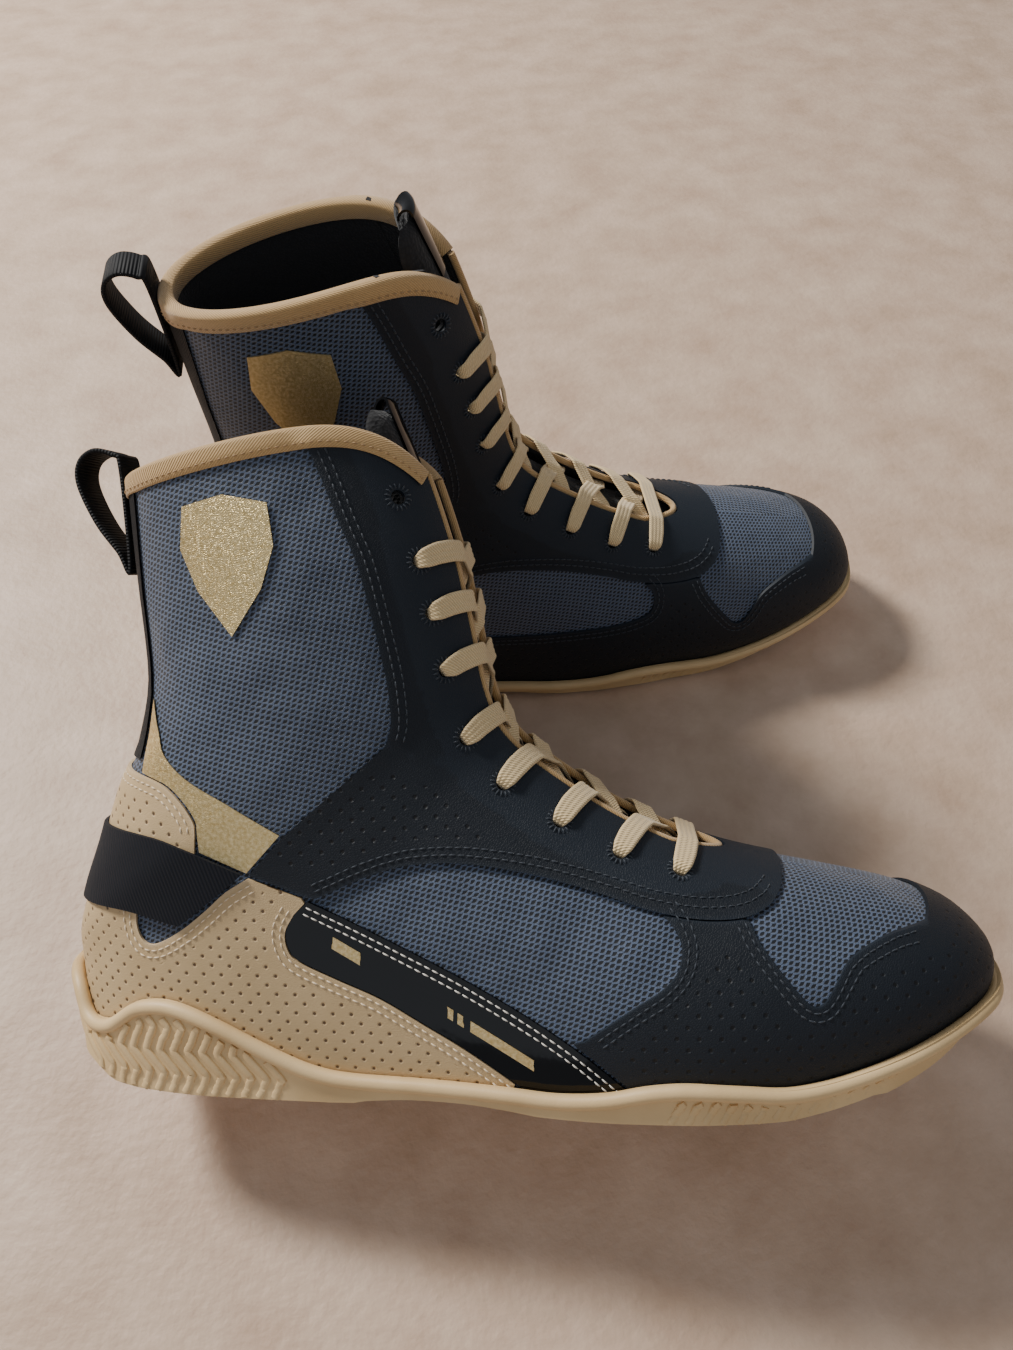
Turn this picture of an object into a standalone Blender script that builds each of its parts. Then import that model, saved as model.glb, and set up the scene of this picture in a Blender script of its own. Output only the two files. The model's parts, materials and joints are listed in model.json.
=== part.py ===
import math

import bmesh
import bpy
import numpy as np
from mathutils import Matrix, Vector

# Driving sizes, in millimetres.
BOOT_LENGTH = 303.0
BALL_HALF_WIDTH = 47.5
COLLAR_HEIGHT = 214.0
THROAT_GAP = 26.0
FACING_WIDTH = 25.0
LINING_T = 1.5
MESH_T = 0.8
OVERLAY_T = 1.0
FILM_T = 0.5
EMBLEM_T = 0.5
GAP = 0.3
LINING_EASE = 0.2
SOLE_WALL_T = 2.0
INSOLE_T = 4.0
BOARD_T = 1.4
STRAP_T = 1.2
PIPING_R = 1.5
BINDING_R = 2.5
TONGUE_T = 4.0
TONGUE_DROP = 6.2
LACE_WIDTH = 7.0
LACE_T = 1.2
EYELET_R = 2.5
EYELET_INSET = 13.0
EYELET_ROWS = 9
LACED_ROWS = 8
LOOP_WIDTH = 14.0
LOOP_T = 1.5
LEAN_DEG = 46.0
PAIR_YAW_DEG = -12.0
PAIR_SHIFT = (-31.0, -202.4)
LEAN_REACH = 160.0

MM = 0.001
SX = BOOT_LENGTH / 303.0
SY = BALL_HALF_WIDTH / 47.5
SZ = COLLAR_HEIGHT / 214.0

# Fan of sections from toe to collar: front x, z, back x, z, half width, end angle.
FAN = (
    (299.3, 33.0, 297.5, 28.0, 4.0, 150.0),
    (300.0, 39.0, 289.5, 23.5, 21.0, 128.0),
    (292.0, 49.0, 271.5, 16.8, 34.0, 116.0),
    (275.0, 57.0, 249.0, 10.6, 42.0, 112.0),
    (250.0, 63.0, 225.0, 7.2, 46.0, 110.0),
    (231.0, 67.0, 202.0, 5.8, 47.5, 110.0),
    (218.0, 70.5, 182.0, 5.6, 47.0, 110.0),
    (201.0, 77.0, 160.0, 6.2, 45.0, 111.0),
    (184.0, 86.0, 137.0, 6.6, 42.0, 112.0),
    (167.0, 98.0, 110.0, 6.6, 39.5, 114.0),
    (154.0, 109.0, 82.0, 6.0, 38.0, 117.0),
    (147.5, 118.0, 54.0, 5.5, 37.0, 121.0),
    (144.5, 127.0, 30.0, 5.5, 36.5, 130.0),
    (143.0, 134.0, 9.0, 11.0, 36.0, 146.0),
    (142.0, 140.0, 0.0, 26.0, 36.0, 165.0),
    (141.0, 146.0, -2.5, 42.0, 36.0, 180.0),
    (140.0, 152.0, 1.5, 58.0, 35.5, 180.0),
    (138.5, 159.0, 8.5, 76.0, 35.0, 180.0),
    (137.0, 167.0, 15.0, 94.0, 34.5, 180.0),
    (134.0, 178.0, 24.0, 112.0, 34.0, 180.0),
    (130.5, 190.0, 28.5, 135.0, 33.0, 180.0),
    (126.5, 202.0, 27.0, 166.0, 32.0, 180.0),
    (122.0, 214.0, 26.0, 197.0, 31.0, 180.0),
    (118.0, 225.0, 26.0, 209.0, 30.5, 180.0),
)

# Outlines in the side view, x and z, taken on the right boot.
TOE_MESH_EDGE = (
    (222.0, 57.0), (225.0, 51.0), (232.0, 42.0), (238.0, 35.5), (242.0, 36.0),
    (246.0, 41.0), (250.0, 46.0), (256.0, 49.0), (265.0, 51.5), (277.0, 52.5),
)
STAY_LOW_EDGE = (
    (70.0, 73.5), (88.0, 66.5), (93.0, 67.0), (104.0, 71.5), (116.0, 75.0), (128.0, 76.0),
    (141.0, 75.0), (159.0, 71.5), (179.0, 65.5), (191.0, 61.5), (203.0, 58.8),
    (213.0, 57.8), (222.0, 58.2), (229.0, 60.5), (233.0, 63.5),
)
SHAFT_MESH_EDGE = (
    (91.0, 209.0), (97.0, 195.0), (102.0, 181.0), (107.0, 168.0), (110.0, 155.0),
    (112.5, 142.0), (114.5, 130.0), (115.0, 118.0), (113.0, 111.5),
)
FILM_TIP = (81.0, 85.0)
MESH_LOW_EDGE = ((64.0, 95.5), (50.0, 103.0), (42.0, 110.0), (39.0, 117.0), (34.0, 127.0))
TAB_EDGE = ((14.0, 105.5), (30.0, 103.5), (41.0, 101.0), (48.0, 96.0), (52.5, 90.0), (53.0, 86.0))
BAND_TOP_EDGE = ((88.0, 65.0), (115.0, 52.0), (142.0, 38.5), (168.0, 23.5), (186.0, 9.0), (192.0, 3.0))
BAND_LOW_EDGE = (
    (84.0, 61.5), (81.0, 56.0), (81.5, 50.5), (85.0, 46.5), (97.0, 41.0), (110.0, 35.5),
    (123.0, 28.0), (136.0, 20.5), (148.0, 12.5), (158.0, 5.0), (162.0, 0.0),
)
QUARTER_RIGHT_EDGE = (
    (196.5, 59.4), (199.5, 56.0), (201.5, 51.0), (200.0, 45.0), (195.0, 40.0), (186.0, 34.5), (172.0, 25.0),
)
MEDIAL_MESH_EDGE = (
    (197.0, 59.2), (200.5, 55.0), (200.0, 49.0), (195.0, 45.0), (180.0, 42.0),
    (150.0, 40.5), (118.0, 41.5), (98.0, 46.0),
)
STRAP_TOP_EDGE = ((4.0, 84.5), (20.0, 85.5), (38.0, 84.5), (52.0, 80.5), (68.0, 74.0))
STRAP_LOW_EDGE = ((-8.0, 59.0), (10.0, 60.5), (27.0, 60.5), (46.0, 57.0))
SOLE_TOP_LATERAL = (
    (-12.0, 38.0), (0.0, 33.0), (6.0, 24.0), (12.0, 22.0), (19.0, 24.0), (28.0, 30.5),
    (38.0, 32.5), (47.0, 31.0), (58.0, 26.5), (68.0, 21.5), (78.0, 16.5), (88.0, 12.5),
    (100.0, 10.5), (125.0, 10.0), (150.0, 9.2), (164.0, 8.6), (178.0, 10.0), (190.0, 12.8),
    (202.0, 14.0), (217.0, 13.0), (230.0, 11.8), (242.0, 13.0), (254.0, 15.8),
    (267.0, 19.5), (280.0, 24.0), (293.0, 29.5), (303.0, 33.5), (312.0, 38.0),
)
SOLE_BOTTOM = (
    (312.0, 34.0), (301.0, 27.0), (291.0, 19.0), (279.0, 13.0), (265.0, 8.0), (252.0, 4.4), (238.0, 1.6),
    (222.0, 0.0), (165.0, 0.0), (150.0, 1.2), (135.0, 2.4), (118.0, 2.4), (104.0, 1.2), (92.0, 0.0),
    (26.0, 0.0), (12.0, 3.5), (2.0, 11.0), (-6.0, 22.0), (-12.0, 32.0),
)
# A plain shield with a straight top.
EMBLEM_OUTLINE = (
    (53.0, 187.0), (67.0, 190.0), (81.0, 187.0), (82.5, 174.0), (78.0, 161.0), (68.0, 147.0),
    (57.0, 161.0), (51.5, 174.0),
)

ROWS = (0.0, 1.0, 2.0, 3.0, 4.0, 5.0, 6.0, 6.5, 7.0, 8.0, 9.0, 10.0, 11.0, 12.0, 13.0, 14.0, 15.0, 16.0)
TOP_ROWS = 4
TOP_START = 16.0
TOP_K = (20.5, 21.5, 22.0)
COLUMNS = 7


def monotone(values):
    """Shape-keeping cubic through one column of the fan."""
    y = np.array(values, float)
    d = np.diff(y)
    m = np.zeros(len(y))
    m[0] = d[0]
    m[-1] = d[-1]
    for i in range(1, len(y) - 1):
        if d[i - 1] * d[i] > 0:
            m[i] = 2.0 * d[i - 1] * d[i] / (d[i - 1] + d[i])
    def at(k):
        k = min(max(k, 0.0), len(y) - 1.0)
        i = min(int(k), len(y) - 2)
        t = k - i
        a = (1 + 2 * t) * (1 - t) ** 2 * y[i] + t * (1 - t) ** 2 * m[i]
        return a + t * t * (3 - 2 * t) * y[i + 1] + t * t * (t - 1) * m[i + 1]
    return at


FAN_AT = [monotone([row[i] for row in FAN]) for i in range(6)]


def section(k, reach=0.0):
    """Front point, back point, half width and end angle; reach carries the section past its back point."""
    fx, fz, bx, bz, width, end = [f(k) for f in FAN_AT]
    end = math.radians(end)
    if reach:
        length = math.hypot(bx - fx, bz - fz)
        scale = 1.0 + reach / length
        room = (1.0 - math.cos(end)) * scale
        room = min(room, 1.999)
        scale = room / (1.0 - math.cos(end))
        bx = fx + (bx - fx) * scale
        bz = fz + (bz - fz) * scale
        end = math.acos(1.0 - room)
    return fx, fz, bx, bz, width, end


def skin(k, phi, side, reach=0.0):
    """Point of the boot's outer surface; side is -1 outside of the foot, +1 inside of it."""
    fx, fz, bx, bz, width, end = section(k, reach)
    angle = phi * end
    t = (1.0 - math.cos(angle)) / (1.0 - math.cos(end))
    x = fx + t * (bx - fx)
    z = fz + t * (bz - fz)
    narrow = 1.0 if side < 0 else 1.0 - 0.12 * t * min(max((x - 150.0) / 60.0, 0.0), 1.0)
    y = side * width * narrow * max(math.sin(angle), 0.0) ** 0.92
    y += 5.0 * (max(x, 0.0) / 300.0) ** 2
    return Vector((x * SX, y * SY, z * SZ))


def skin_normal(k, phi, side, reach=0.0):
    low = min(max(k, 0.02), len(FAN) - 1.02)
    mid = min(max(phi, 0.012), 0.988)
    dk = skin(low + 0.02, mid, side, reach) - skin(low - 0.02, mid, side, reach)
    dp = skin(low, mid + 0.01, side, reach) - skin(low, mid - 0.01, side, reach)
    n = dk.cross(dp)
    if side > 0:
        n = -n
    if n.length < 1e-9:
        n = Vector((1, 0, 0))
    n.normalize()
    if phi < 0.012 or (phi > 0.988 and section(k, reach)[5] > 2.9):
        n.y = 0.0
        n.normalize()
    return n


def arc_table(k):
    points = [skin(k, i / 60.0, -1) for i in range(61)]
    total = [0.0]
    for a, b in zip(points, points[1:]):
        total.append(total[-1] + (b - a).length)
    return total


def phi_at(k, distance):
    """Section parameter at a distance along the surface from the front ridge."""
    table = arc_table(k)
    return float(np.interp(distance, table, [i / 60.0 for i in range(61)]))


def throat_half(k):
    return THROAT_GAP / 2.0 * min(max(k - 6.0, 0.0), 1.0) ** 0.5


def column_distances(k):
    total = arc_table(k)[-1]
    first = throat_half(k)
    marks = [first, first + 8.0 * min(1.0, total / 60.0), first + FACING_WIDTH * min(1.0, total / 60.0)]
    rest = COLUMNS - 2
    return marks + [marks[2] + (total - marks[2]) * (i + 1) / rest for i in range(rest)]


def grid_k(row, column):
    """Section number of a grid row; the last rows spread up to the collar line."""
    if row < len(ROWS):
        return ROWS[row]
    top = TOP_K[min(column, 2)]
    return TOP_START + (top - TOP_START) * (row - len(ROWS) + 1) / TOP_ROWS


ROW_COUNT = len(ROWS) + TOP_ROWS


def grid_point(row, column, side, offset, shift=0.0, nudge=0.0):
    """Point of the shared grid, so that every layer has the same facets."""
    k = grid_k(row, column) + shift
    distance = column_distances(k)[column] + nudge
    phi = phi_at(k, distance) if column < COLUMNS or nudge else 1.0
    return skin(k, phi, side) + skin_normal(k, phi, side) * offset


def new_object(name, mesh, collection, material=None):
    obj = bpy.data.objects.new(name, mesh)
    collection.objects.link(obj)
    if material:
        mesh.materials.append(material)
    return obj


def mesh_from(name, points, faces):
    bm = bmesh.new()
    verts = [bm.verts.new(Vector(p) * MM) for p in points]
    for face in faces:
        bm.faces.new([verts[i] for i in face])
    bmesh.ops.remove_doubles(bm, verts=bm.verts, dist=2e-5)
    bmesh.ops.dissolve_degenerate(bm, edges=bm.edges, dist=1e-6)
    bmesh.ops.recalc_face_normals(bm, faces=bm.faces)
    mesh = bpy.data.meshes.new(name)
    bm.to_mesh(mesh)
    bm.free()
    return mesh


def add_quad(faces, quad, side):
    """Split every facet on the same diagonal, so that layers nest."""
    a, b, c, d = quad
    if side < 0:
        faces.extend(([a, b, c], [a, c, d]))
    else:
        faces.extend(([a, c, b], [a, d, c]))


def sheet(name, rows, sides, offset, first_column=None, last_column=COLUMNS, bottom=False,
          shifts=(0.0, 0.0), inset=0.0, hem=0.0):
    """Open sheet over grid rows; first_column may depend on the row, and hem lifts the lower edge."""
    points = []
    index = {}
    faces = []
    start = first_column or (lambda row: 0)

    def vertex(row, column, side):
        key = (row, column, side)
        if key not in index:
            shift = shifts[0] if row == rows[0] else shifts[1] if row == rows[-1] else 0.0
            nudge = inset if column == start(row) and column > 0 else 0.0
            if column == COLUMNS and section(grid_k(row, column))[5] < 2.4:
                nudge = -hem
            index[key] = len(points)
            points.append(grid_point(row, column, side, offset, shift, nudge))
        return index[key]

    for a, b in zip(rows, rows[1:]):
        for side in sides:
            for c in range(last_column):
                if c < max(start(a), start(b)):
                    continue
                quad = [vertex(a, c, side), vertex(b, c, side), vertex(b, c + 1, side), vertex(a, c + 1, side)]
                add_quad(faces, quad, side)
        if bottom:
            ends = [section(grid_k(r, COLUMNS))[5] for r in (a, b)]
            if min(ends) < 3.13:
                quad = [vertex(a, COLUMNS, -1), vertex(b, COLUMNS, -1), vertex(b, COLUMNS, 1), vertex(a, COLUMNS, 1)]
                add_quad(faces, quad, -1)
    return points, faces


def solidify(obj, thickness):
    mod = obj.modifiers.new("thickness", "SOLIDIFY")
    mod.thickness = thickness * MM
    mod.offset = 0.0
    mod.use_rim = True
    return mod


def outline_plate(name, outer, inner, y0, y1, cutters):
    """Flat curve outline, filled and thickened across the boot; inner cuts a window in it."""
    curve = bpy.data.curves.new(name, "CURVE")
    curve.dimensions = "2D"
    curve.fill_mode = "BOTH"
    curve.extrude = abs(y1 - y0) / 2.0 * MM
    for outline in (outer, inner):
        if not outline:
            continue
        spline = curve.splines.new("POLY")
        spline.points.add(len(outline) - 1)
        for point, (x, z) in zip(spline.points, outline):
            point.co = (x * SX * MM, z * SZ * MM, 0.0, 1.0)
        spline.use_cyclic_u = True
    source = bpy.data.objects.new(name + "_outline", curve)
    cutters.objects.link(source)
    graph = bpy.context.evaluated_depsgraph_get()
    mesh = bpy.data.meshes.new_from_object(source.evaluated_get(graph))
    bm = bmesh.new()
    bm.from_mesh(mesh)
    bmesh.ops.remove_doubles(bm, verts=bm.verts, dist=1e-6)
    place = Matrix.Translation((0, (y0 + y1) / 2.0 * MM, 0)) @ Matrix.Rotation(math.radians(90), 4, "X")
    bmesh.ops.transform(bm, matrix=place, verts=bm.verts)
    bmesh.ops.recalc_face_normals(bm, faces=bm.faces)
    bm.to_mesh(mesh)
    bm.free()
    bpy.data.objects.remove(source)
    obj = new_object(name, mesh, cutters)
    obj.hide_render = True
    obj.display_type = "WIRE"
    return obj


def cut(obj, cutter, operation):
    mod = obj.modifiers.new(cutter.name, "BOOLEAN")
    mod.operation = operation
    mod.object = cutter
    mod.solver = "EXACT"
    return mod


BIG = ((-60.0, -40.0), (360.0, -40.0), (360.0, 300.0), (-60.0, 300.0))


def keep_inside(obj, lateral, medial, cutters):
    """Cut a layer to a side outline, which may differ on the two sides of the foot."""
    if lateral:
        cut(obj, outline_plate(obj.name + "_trim_a", BIG, lateral, -95.0, 0.4, cutters), "DIFFERENCE")
    if medial:
        cut(obj, outline_plate(obj.name + "_trim_b", BIG, medial, -0.4, 95.0, cutters), "DIFFERENCE")


def material(name, colour, roughness, metallic=0.0, coat=0.0):
    found = bpy.data.materials.get(name)
    if found:
        return found
    mat = bpy.data.materials.new(name)
    mat.use_nodes = True
    shader = mat.node_tree.nodes["Principled BSDF"]
    shader.inputs["Base Color"].default_value = (*colour, 1.0)
    shader.inputs["Roughness"].default_value = roughness
    shader.inputs["Metallic"].default_value = metallic
    shader.inputs["Coat Weight"].default_value = coat
    mat.diffuse_color = (*colour, 1.0)
    return mat


def layer(boot, name, mat, rows, sides, low, high, **options):
    """One cloth or leather layer between two offsets from the surface."""
    points, faces = sheet(name, rows, sides, (low + high) / 2.0, **options)
    obj = new_object(boot["prefix"] + name, mesh_from(name, points, faces), boot["parts"], mat)
    solidify(obj, high - low)
    return obj


def closed_body(name, collection, rows, offset, reach):
    """Closed body of the boot shape on the shared grid, used to hollow and bound the outsole."""
    points = []
    rings = []
    for row in rows:
        ring = []
        for side in (-1, 1):
            columns = range(COLUMNS, 0, -1) if side < 0 else range(COLUMNS + 1)
            for column in columns:
                k = grid_k(row, column)
                phi = phi_at(k, column_distances(k)[column]) if column < COLUMNS else 1.0
                p = skin(k, phi, side) + skin_normal(k, phi, side) * offset
                if column == COLUMNS and section(k)[5] < 2.6:
                    p.z -= reach
                ring.append(len(points))
                points.append(p)
            if side < 0:
                k = grid_k(row, 0)
                phi = phi_at(k, column_distances(k)[0])
                ring.append(len(points))
                points.append(skin(k, phi, side) + skin_normal(k, phi, side) * offset)
        rings.append(ring)
    faces = []
    for a, b in zip(rings, rings[1:]):
        n = len(a)
        for i in range(n):
            quad = [a[i], a[(i + 1) % n], b[(i + 1) % n], b[i]]
            faces.append([quad[0], quad[1], quad[2]])
            faces.append([quad[0], quad[2], quad[3]])
    faces.append(rings[0][::-1])
    faces.append(rings[-1])
    return new_object(name, mesh_from(name, points, faces), collection)


def outsole(boot):
    rows = list(range(19))
    clear = OVERLAY_T + 3 * GAP
    body = closed_body(boot["prefix"] + "outsole", boot["parts"], rows, clear + SOLE_WALL_T, 14.0)
    body.data.materials.append(material("gum_rubber", (0.66, 0.47, 0.24), 0.5))
    side_view = outline_plate(
        body.name + "_profile", list(SOLE_TOP_LATERAL) + list(SOLE_BOTTOM), None, -95.0, 95.0, boot["cutters"])
    cut(body, side_view, "INTERSECT")
    hollow = closed_body(body.name + "_hollow", boot["cutters"], rows, clear, 1.8)
    hollow.hide_render = True
    hollow.display_type = "WIRE"
    cut(body, hollow, "DIFFERENCE")
    return body


def foot_plate(boot, name, mat, x0, x1, floor, thickness, inset, steps=14):
    """Plate inside the sole cup, following its bottom from heel to toe."""
    ks = np.linspace(0.0, 15.0, 240)
    side_points = {}
    for side in (-1, 1):
        line = [skin(k, 1.0, side) for k in ks]
        side_points[side] = sorted(((p.x, p.y, p.z) for p in line), key=lambda p: p[0])
    points = []
    faces = []
    for i in range(steps + 1):
        x = x0 + (x1 - x0) * 0.5 * (1 - math.cos(math.pi * i / steps))
        ring = []
        for side, level in ((-1, 0.0), (1, 0.0), (1, 1.0), (-1, 1.0)):
            xs, ys, zs = np.array(side_points[side]).T
            y = float(np.interp(x * SX, xs, ys))
            z = float(np.interp(x * SX, xs, zs))
            middle = 5.0 * (max(x, 0.0) / 300.0) ** 2 * SY
            half = max(abs(y - middle) - inset, 2.0)
            ring.append(len(points))
            points.append(Vector((x * SX, middle + side * half, z + floor + level * thickness)))
        if i:
            last = [r - 4 for r in ring]
            for j in range(4):
                faces.append([last[j], last[(j + 1) % 4], ring[(j + 1) % 4], ring[j]])
    faces.append([3, 2, 1, 0])
    faces.append([len(points) - 4, len(points) - 3, len(points) - 2, len(points) - 1])
    return new_object(boot["prefix"] + name, mesh_from(name, points, faces), boot["parts"], mat)


def tube(boot, name, mat, path, radius, cyclic=False, resolution=1):
    curve = bpy.data.curves.new(name, "CURVE")
    curve.dimensions = "3D"
    curve.bevel_depth = radius * MM
    curve.bevel_resolution = resolution
    curve.use_fill_caps = not cyclic
    curve.resolution_u = 1
    spline = curve.splines.new("POLY")
    spline.points.add(len(path) - 1)
    for point, p in zip(spline.points, path):
        point.co = (p.x * MM, p.y * MM, p.z * MM, 1.0)
    spline.use_cyclic_u = cyclic
    curve.materials.append(mat)
    obj = bpy.data.objects.new(boot["prefix"] + name, curve)
    boot["parts"].objects.link(obj)
    return obj


def beside(edge, normals, distance, offset):
    """Path at a distance beyond an open edge line, in the plane of the surface there."""
    out = []
    count = len(edge)
    for i in range(count):
        turns = []
        for a, b in ((i - 1, i), (i, i + 1)):
            if a < 0 or b >= count:
                continue
            along = (edge[b] - edge[a]).normalized()
            turns.append(along.cross(normals[i]).normalized())
        away = turns[0] if len(turns) == 1 else (turns[0] + turns[1]).normalized()
        reach = distance / max(away.dot(turns[0]), 0.6)
        out.append(edge[i] + away * reach + normals[i] * offset)
    return out


def collar_edge():
    """Grid points and normals along the collar, outer throat corner round the back to the inner one."""
    line = [(-1, c) for c in range(COLUMNS)] + [(1, c) for c in range(COLUMNS, -1, -1)]
    edge = []
    normals = []
    for side, c in line:
        k = TOP_K[min(c, 2)]
        phi = phi_at(k, column_distances(k)[c]) if c < COLUMNS else 1.0
        edge.append(skin(k, phi, side))
        normals.append(skin_normal(k, phi, side))
    return edge, normals


def throat_edge():
    """Grid points and normals down one side of the throat, round its end and up the other."""
    rows = [r for r in range(ROW_COUNT - 1, 6, -1)]
    line = [(-1, r) for r in rows] + [(-1, 6)] + [(1, r) for r in rows[::-1]]
    edge = []
    normals = []
    for side, r in line:
        k = grid_k(r, 0)
        phi = phi_at(k, throat_half(k))
        edge.append(skin(k, phi, side))
        normals.append(skin_normal(k, phi, side))
    return edge, normals


def ribbon(boot, name, mat, stations):
    """Flat band swept along stations of point, width direction, width and thickness."""
    points = []
    faces = []
    last = len(stations) - 1
    for i, (p, side, width, thickness) in enumerate(stations):
        ahead = (stations[min(i + 1, last)][0] - stations[max(i - 1, 0)][0]).normalized()
        across = side - ahead * side.dot(ahead)
        across.normalize()
        up = ahead.cross(across)
        for a, u in ((-1, -1), (1, -1), (1, 1), (-1, 1)):
            points.append(p + across * (a * width / 2.0) + up * (u * thickness / 2.0))
        if i:
            b = 4 * i
            for j in range(4):
                faces.append([b - 4 + j, b - 4 + (j + 1) % 4, b + (j + 1) % 4, b + j])
    faces.append([3, 2, 1, 0])
    n = len(points)
    faces.append([n - 4, n - 3, n - 2, n - 1])
    return new_object(boot["prefix"] + name, mesh_from(name, points, faces), boot["parts"], mat)


def eyelet_k():
    """Section numbers of the eyelet rows, from the vamp up."""
    return (6.75, 7.75, 8.75, 9.9, 11.5, 14.4, 17.0, 18.7, 20.25)[:EYELET_ROWS]


def eyelet_frame(k, side):
    phi = phi_at(k, throat_half(k) + EYELET_INSET)
    p = skin(k, phi, side)
    n = skin_normal(k, phi, side)
    along = (skin(k + 0.05, phi, side) - skin(k - 0.05, phi, side)).normalized()
    return p, n, along


def eyelet_cutter(boot):
    bm = bmesh.new()
    for k in eyelet_k():
        for side in (-1, 1):
            p, n, along = eyelet_frame(k, side)
            turn = n.to_track_quat("Z", "Y").to_matrix().to_4x4()
            bmesh.ops.create_cone(
                bm, cap_ends=True, segments=6, radius1=EYELET_R * MM, radius2=EYELET_R * MM,
                depth=9.0 * MM, matrix=Matrix.Translation(p * MM) @ turn)
    mesh = bpy.data.meshes.new("eyelet_drill")
    bm.to_mesh(mesh)
    bm.free()
    obj = new_object(boot["prefix"] + "eyelet_drill", mesh, boot["cutters"])
    obj.hide_render = True
    obj.display_type = "WIRE"
    return obj


def on_section(k, distance, side, offset):
    phi = phi_at(k, abs(distance))
    return skin(k, phi, side) + skin_normal(k, phi, side) * offset


def lace_station(k, distance, side, offset, width=LACE_WIDTH, thickness=LACE_T):
    """Point of the lace at a distance from the ridge, with its width along the throat."""
    phi = phi_at(k, max(distance, 0.0))
    along = (skin(k + 0.05, phi, side) - skin(k - 0.05, phi, side)).normalized()
    p = skin(k, phi, side) + skin_normal(k, phi, side) * offset
    return p, along, width, thickness


LACE_HIGH = OVERLAY_T + 2 * GAP + LACE_T / 2.0 + 0.5
LACE_LOW = -(MESH_T + GAP + 0.7 + 2 * GAP + LACE_T / 2.0)
LACE_SLIM = 3.0


def through_hole(k, side, upward):
    """The lace folded narrow through one eyelet."""
    at = throat_half(k) + EYELET_INSET
    marks = [
        lace_station(k, at - 0.1, side, LACE_LOW - 0.2, LACE_SLIM, 1.5),
        lace_station(k, at - 0.1, side, LACE_HIGH + 0.2, LACE_SLIM, 1.5),
    ]
    return marks if upward else marks[::-1]


def crossing(k0, side, k1, lift):
    """Lace under its own edge, up across the gap and over the far edge towards the next eyelet."""
    step = k1 - k0
    near = throat_half(k0)
    far = throat_half(k1)
    return [
        lace_station(k0 + 0.04 * step, near + 5.0, side, LACE_LOW),
        lace_station(k0 + 0.12 * step, near, side, LACE_LOW),
        lace_station(k0 + 0.22 * step, near - 6.0, side, LACE_LOW),
        lace_station(k0 + 0.5 * step, 0.0, -1, -1.3 + lift),
        lace_station(k1 - 0.17 * step, far - 3.5, -side, LACE_HIGH + 0.1),
        lace_station(k1 - 0.09 * step, far + 1.5, -side, LACE_HIGH + 0.3),
        lace_station(k1 - 0.03 * step, far + 6.0, -side, LACE_HIGH),
    ]


def lace_half(first, lift):
    """One strand from the bottom bar up to its tucked end; it leaves the bar on side first."""
    ks = eyelet_k()[:LACED_ROWS]
    side = first
    out = through_hole(ks[0], side, False)
    for a, b in zip(ks, ks[1:]):
        out += crossing(a, side, b, lift)
        side = -side
        out += through_hole(b, side, False)
    k = ks[-1]
    half = throat_half(k)
    out.append(lace_station(k + 0.15, half + 7.0, side, LACE_LOW))
    out.append(lace_station(k + 0.45, half + 4.5, side, LACE_LOW))
    return out


def lace(boot, mat):
    k = eyelet_k()[0]
    half = throat_half(k)
    bar = [
        lace_station(k, half + 5.5, 1, LACE_HIGH + 0.1),
        lace_station(k, half - 0.5, 1, LACE_HIGH + 0.4),
        lace_station(k, half - 0.5, -1, LACE_HIGH + 0.4),
        lace_station(k, half + 5.5, -1, LACE_HIGH + 0.1),
    ]
    stations = lace_half(1, 0.95)[::-1] + bar + lace_half(-1, -0.95)
    ribbon(boot, "lace", mat, stations)


def tongue(boot, mat, trim):
    ks = [5.3, 6.0, 7.0, 8.0, 9.0, 10.0, 11.0, 12.2, 14.0, 16.5, 18.2, 19.6, 21.0, 22.4]
    half = 25.0
    middle = -(TONGUE_DROP + TONGUE_T / 2.0)
    points = []
    faces = []
    cols = 3
    for row, k in enumerate(ks):
        wide = half * (0.62 if row == 0 else 0.85 if row == len(ks) - 1 else 1.0)
        for c in range(-cols, cols + 1):
            d = wide * abs(c) / cols
            points.append(on_section(k, d, -1 if c < 0 else 1, middle))
    n = 2 * cols + 1
    for row in range(len(ks) - 1):
        for c in range(n - 1):
            a = row * n + c
            faces.append([a, a + 1, a + n + 1, a + n])
    obj = new_object(boot["prefix"] + "tongue", mesh_from("tongue", points, faces), boot["parts"], mat)
    solidify(obj, TONGUE_T)
    points = []
    faces = []
    ks = [20.9, 21.7, 22.3]
    middle = -(TONGUE_DROP - GAP - 0.4)
    for k in ks:
        for c in range(-2, 3):
            d = 9.0 * abs(c) / 2
            points.append(on_section(k, d, -1 if c < 0 else 1, middle))
    for row in range(len(ks) - 1):
        for c in range(4):
            a = row * 5 + c
            faces.append([a, a + 1, a + 6, a + 5])
    label = new_object(boot["prefix"] + "tongue_trim", mesh_from("tongue_trim", points, faces), boot["parts"], trim)
    solidify(label, 0.8)
    return obj


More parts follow.
